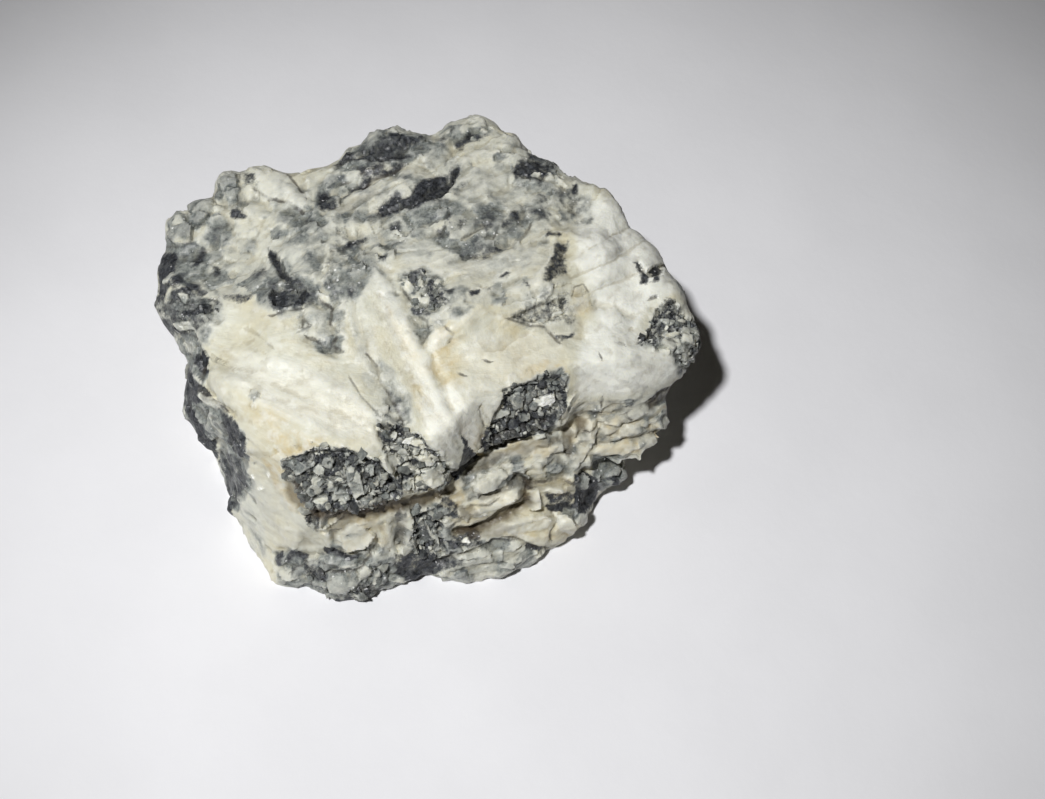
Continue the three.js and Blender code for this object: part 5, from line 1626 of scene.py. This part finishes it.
    def black_mineral(self, body):
        """Soot-black mineral with ragged edges, and the pale grains that lie in it."""
        patchwork = self.lumps * 0.40 + self.fine * 0.26 + self.streak * 0.20 + self.dust * 0.14
        ragged = self.ramp(self.chunky, 0.1, 0.5, 0.46, 0.85)
        edge = self.graphite + (self.ramp(patchwork, 0.36, 0.64) - 0.5) * ragged
        self.cover = self.ramp(edge, 0.22, 0.88) * self.ramp(self.graphite, 0.02, 0.16)
        soot = self.blend(self.ramp(self.fine, 0.36, 0.66), colour(27, 29, 34), colour(74, 77, 81))
        soot = self.blend(self.ramp(self.chip, 0.72, 0.98, 0.0, 0.42), soot, colour(118, 121, 119))
        grain = self.blend(self.ramp(self.fine, 0.35, 0.62), colour(120, 122, 118), colour(196, 196, 184))
        light = self.ramp(self.grain + (self.fine - 0.5) * 0.5, 0.30, 0.95)
        inner = self.ramp(self.attribute("grain_border") + (self.fine - 0.5) * 0.14, 0.0, 0.12)
        light = light * inner * self.ramp(self.chunky, 0.1, 0.6)
        light = light * self.ramp(self.graphite, 0.8, 1.0, 1.0, 0.45)
        return self.blend(self.cover, body, self.blend(light, soot, grain))

    def parted(self, body):
        """Thin lines, and the partings between glassy chips."""
        away = self.attribute("line_distance") + (self.medium - 0.5)
        away = self.node("ShaderNodeMath", {"operation": "ABSOLUTE"}, {0: away})
        away = away + (self.lumps - 0.5) * 1.4 + (self.fine - 0.5) * 0.8
        border = self.attribute("chip_border") + (self.fine - 0.5) * 0.2
        parting = self.ramp(border, 0.0, 0.14, 1.0, 0.0) * self.ramp(self.gaps, 0.46, 0.58)
        body = self.blend(parting * 0.55, body, colour(70, 70, 66))
        self.line = self.ramp(away, 0.20, 1.15, 1.0, 0.0) * self.attribute("line_shade")
        self.line = self.line * self.ramp(self.gaps, 0.38, 0.58, 0.25, 0.85)
        return self.blend(self.line, body, colour(58, 54, 50))

    def shaded(self, body):
        """Painted shade in valleys, painted highlights on ridges, painted brown shade deep under an edge."""
        # painted shade: darker where the surface lies below its neighbours
        deep = self.ramp(self.valley, 0.25, 1.0, 0.0, 0.34)
        body = self.blend(deep, body, colour(190, 178, 148), "MULTIPLY")
        # painted highlight: lighter where the surface stands above its neighbours
        ridge = self.ramp(self.valley, -0.25, -1.0, 0.0, 0.24) * (1 - self.cover)
        body = self.blend(ridge, body, colour(233, 233, 224))
        return self.blend(self.crevice, body, colour(78, 66, 46))

    def roughness(self):
        self.dark = self.cover.at_least(self.line)
        rough = self.ramp(self.other_chip, 0.0, 0.86, 0.38, 0.64)
        rough = rough - self.ramp(self.other_chip, 0.92, 0.96, 0.0, 0.34)
        return rough + self.fine * 0.10 - self.dark * 0.04

    def relief(self):
        """Fine bumps, with the small faces of chips and blades each leaning its own way."""
        height = self.hair * 0.20 + self.streak * 0.25 + self.fine * 0.55
        height = height + self.dust * 0.25 + self.cover * -0.3
        bumps = self.node("ShaderNodeBump", None, {"Strength": 0.7, "Distance": 0.00010, "Height": height})
        chip_lean = 0.16 + self.dark * 0.34 + self.ramp(self.haze, 0.2, 0.8) * 0.10
        sugar = self.scaled(self.vector("SUBTRACT", self.chips, (0.5,) * 3), chip_lean)
        sheen = self.scaled(self.vector("SUBTRACT", self.blades, (0.5,) * 3), (1 - self.dark) * 0.18)
        leaning = self.vector("ADD", self.vector("ADD", bumps, sugar), sheen)
        return self.vector("NORMALIZE", leaning, (0.0,) * 3)

    def painted_glints(self):
        """Painted glints: tiny faces that glow white through emission, as if they caught the light."""
        flash = self.parts("ShaderNodeSeparateColor", self.cells(self.place, 6.5, "Color"))[0]
        spark = self.ramp(flash, 0.980, 0.992) * self.ramp(self.gaps, 0.48, 0.60)
        spark = spark * self.ramp(self.graphite + self.haze * 0.7, 0.2, 0.7)
        return spark + self.attribute("glint") * self.ramp(self.fine, 0.40, 0.66)


STONE_FINISH = StoneFinish().material
stone.data.materials.append(STONE_FINISH)
for polygon in stone.data.polygons:
    polygon.use_smooth = False
only(stone)
bpy.ops.object.shade_smooth_by_angle(angle=np.radians(38))
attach(stone, "root")
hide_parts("stone")

# ----------------------------------------------------------------- loose grains and broken crystals

SKIN_OUT = unit(spread(normals(stone), ends, 2))


def chipped_block(cuts, nearest, furthest):
    """A block with its corners broken off: its corner points and its faces."""
    bpy.ops.object.select_all(action="DESELECT")
    bpy.ops.mesh.primitive_cube_add(size=1.0)
    block = bpy.context.object
    bpy.ops.object.mode_set(mode="EDIT")
    for direction in unit(draw.normal(size=(cuts, 3))):
        bpy.ops.mesh.select_all(action="SELECT")
        bpy.ops.mesh.bisect(
            plane_co=tuple(direction * draw.uniform(nearest, furthest)),
            plane_no=tuple(direction),
            use_fill=True,
            clear_outer=True,
        )
    bpy.ops.object.mode_set(mode="OBJECT")
    corners = np.array([tuple(v.co) for v in block.data.vertices])
    faces = [tuple(p.vertices) for p in block.data.polygons]
    bpy.data.objects.remove(block)
    return corners, faces


class Blocks:
    """Many small blocks that become one piece, each taking its colour from the skin it sits on."""

    def __init__(self):
        self.corners, self.faces, self.anchors, self.own = [], [], [], []
        self.count = 0

    def add(self, shape, anchor, axes, size, lift, own):
        corners, faces = shape
        middle = shaped[anchor] + SKIN_OUT[anchor] * lift
        self.corners.append(middle + (corners * size) @ axes)
        self.faces += [tuple(k + self.count for k in face) for face in faces]
        self.anchors += [anchor] * len(corners)
        self.own += [own] * len(corners)
        self.count += len(corners)

    def piece(self, name):
        mesh = bpy.data.meshes.new(name)
        points = np.clip(np.concatenate(self.corners), low, high)
        mesh.from_pydata((points * MM).tolist(), [], self.faces)
        obj = bpy.data.objects.new(name, mesh)
        bpy.context.scene.collection.objects.link(obj)
        only(obj)
        bpy.ops.object.mode_set(mode="EDIT")
        bpy.ops.mesh.select_all(action="SELECT")
        bpy.ops.mesh.normals_make_consistent(inside=False)
        bpy.ops.object.mode_set(mode="OBJECT")
        anchors = np.array(self.anchors)
        own = {key: np.array([o.get(key, np.nan) for o in self.own]) for key in SHARES}
        for key, values in SHARES.items():
            store(key, np.where(np.isnan(own[key]), values[anchors], own[key]), mesh)
        store("fibre", np.stack((points[:, 0], points[:, 1], anchors % 60), axis=1), mesh)
        mesh.materials.append(STONE_FINISH)
        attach(obj, "root")
        return obj


SHARES = {
    "graphite": black, "smoky": smoky, "warm": warm, "snow": snow, "tone": crystal_tone[owner] * contrast,
    "line_distance": np.full(len(skin), 3.0), "line_shade": np.zeros(len(skin)), "seam": np.zeros(len(skin)),
    "grain": np.zeros(len(skin)), "grain_border": np.ones(len(skin)),
    "chunky": np.zeros(len(skin)), "crevice": np.zeros(len(skin)), "valley": np.zeros(len(skin)),
    "streaks": np.zeros(len(skin)),
}

GRAIN_SHAPES = [chipped_block(7, 0.30, 0.46) for _ in range(6)]
GRAIN_SIZE = (0.35, 1.0)
GRAIN_TRIES = 2600


def any_turn():
    """Three axes at right angles, turned any way."""
    axes, _ = np.linalg.qr(draw.normal(size=(3, 3)))
    return axes


def matrix_grains():
    blocks = Blocks()
    pool = np.flatnonzero((chunky > 0.3) & (seen > 0.5))
    pick = draw.choice(pool, min(GRAIN_TRIES, len(pool)), replace=False)
    kept, sizes = [], []
    for i in pick:
        size = GRAIN_SIZE[0] + (GRAIN_SIZE[1] - GRAIN_SIZE[0]) * draw.uniform() ** 2.2
        if draw.uniform() > 0.6 * chunky[i]:
            continue
        if kept:
            gap = np.linalg.norm(shaped[kept] - shaped[i], axis=1)
            if np.any(gap < 0.62 * (np.array(sizes) + size)):
                continue
        kept.append(i)
        sizes.append(size)
        kind = draw.uniform()
        if kind < 0.22:
            own = {"graphite": 0.8, "smoky": 0.8, "snow": 0.0}
        elif kind < 0.84:
            own = {"graphite": draw.uniform(0.0, 0.3), "smoky": draw.uniform(0.7, 1.0), "snow": 0.0}
        else:
            own = {"graphite": 0.0, "smoky": draw.uniform(0.35, 0.6), "snow": 0.0}
        shape = GRAIN_SHAPES[draw.integers(len(GRAIN_SHAPES))]
        stretch = size * draw.uniform(0.75, 1.2, 3)
        blocks.add(shape, i, any_turn(), stretch, -size * draw.uniform(0.16, 0.36), own)
    return blocks.piece("matrix_grains")


matrix_grains()

# ----------------------------------------------------------------- floor and light


def floor_finish():
    f = Finish("paper")
    place = f.node("ShaderNodeTexCoord", output="Object")
    mottling = f.noise(place, 60.0, 3.0)
    tint = f.blend(f.ramp(mottling, 0.3, 0.7), colour(236, 236, 239), colour(240, 240, 243))
    tooth = f.noise(place, 900.0)
    grain = f.node("ShaderNodeBump", None, {"Strength": 0.2, "Distance": 0.0001, "Height": tooth})
    f.surface(Base_Color=tint, Roughness=0.85, Normal=grain)
    return f.material


FLOOR_SIZE = 1.6
bpy.ops.object.select_all(action="DESELECT")
bpy.ops.mesh.primitive_plane_add(size=FLOOR_SIZE, location=(0, 0, 0))
floor = bpy.context.object
floor.name = "floor"
bpy.ops.object.mode_set(mode="EDIT")
bpy.ops.mesh.subdivide(number_cuts=8)
bpy.ops.object.mode_set(mode="OBJECT")
floor.data.materials.append(floor_finish())

KEY_PLACE = (-112.0, -112.0, 300.0)
KEY_AIM = (10.0, -5.0, 0.0)
KEY_RADIUS = 11.0
KEY_POWER = 4.55
KEY_BEAM = 36.0
FILL_STRENGTH = 0.012
FILL_COLOUR = (1.0, 0.86, 0.66, 1.0)


def add_light():
    data = bpy.data.lights.new("key", "SPOT")
    data.shadow_soft_size = KEY_RADIUS * MM
    data.spot_size = np.radians(KEY_BEAM)
    data.spot_blend = 1.0
    data.energy = KEY_POWER
    light = bpy.data.objects.new("key", data)
    bpy.context.scene.collection.objects.link(light)
    light.location = Vector(KEY_PLACE) * MM
    light.rotation_euler = (Vector(KEY_AIM) - Vector(KEY_PLACE)).to_track_quat("-Z", "Y").to_euler()
    world = bpy.data.worlds.new("soft room")
    world.use_nodes = True
    background = world.node_tree.nodes["Background"].inputs
    background["Color"].default_value = FILL_COLOUR
    background["Strength"].default_value = FILL_STRENGTH
    bpy.context.scene.world = world


add_light()
bpy.context.scene.view_settings.view_transform = "Standard"
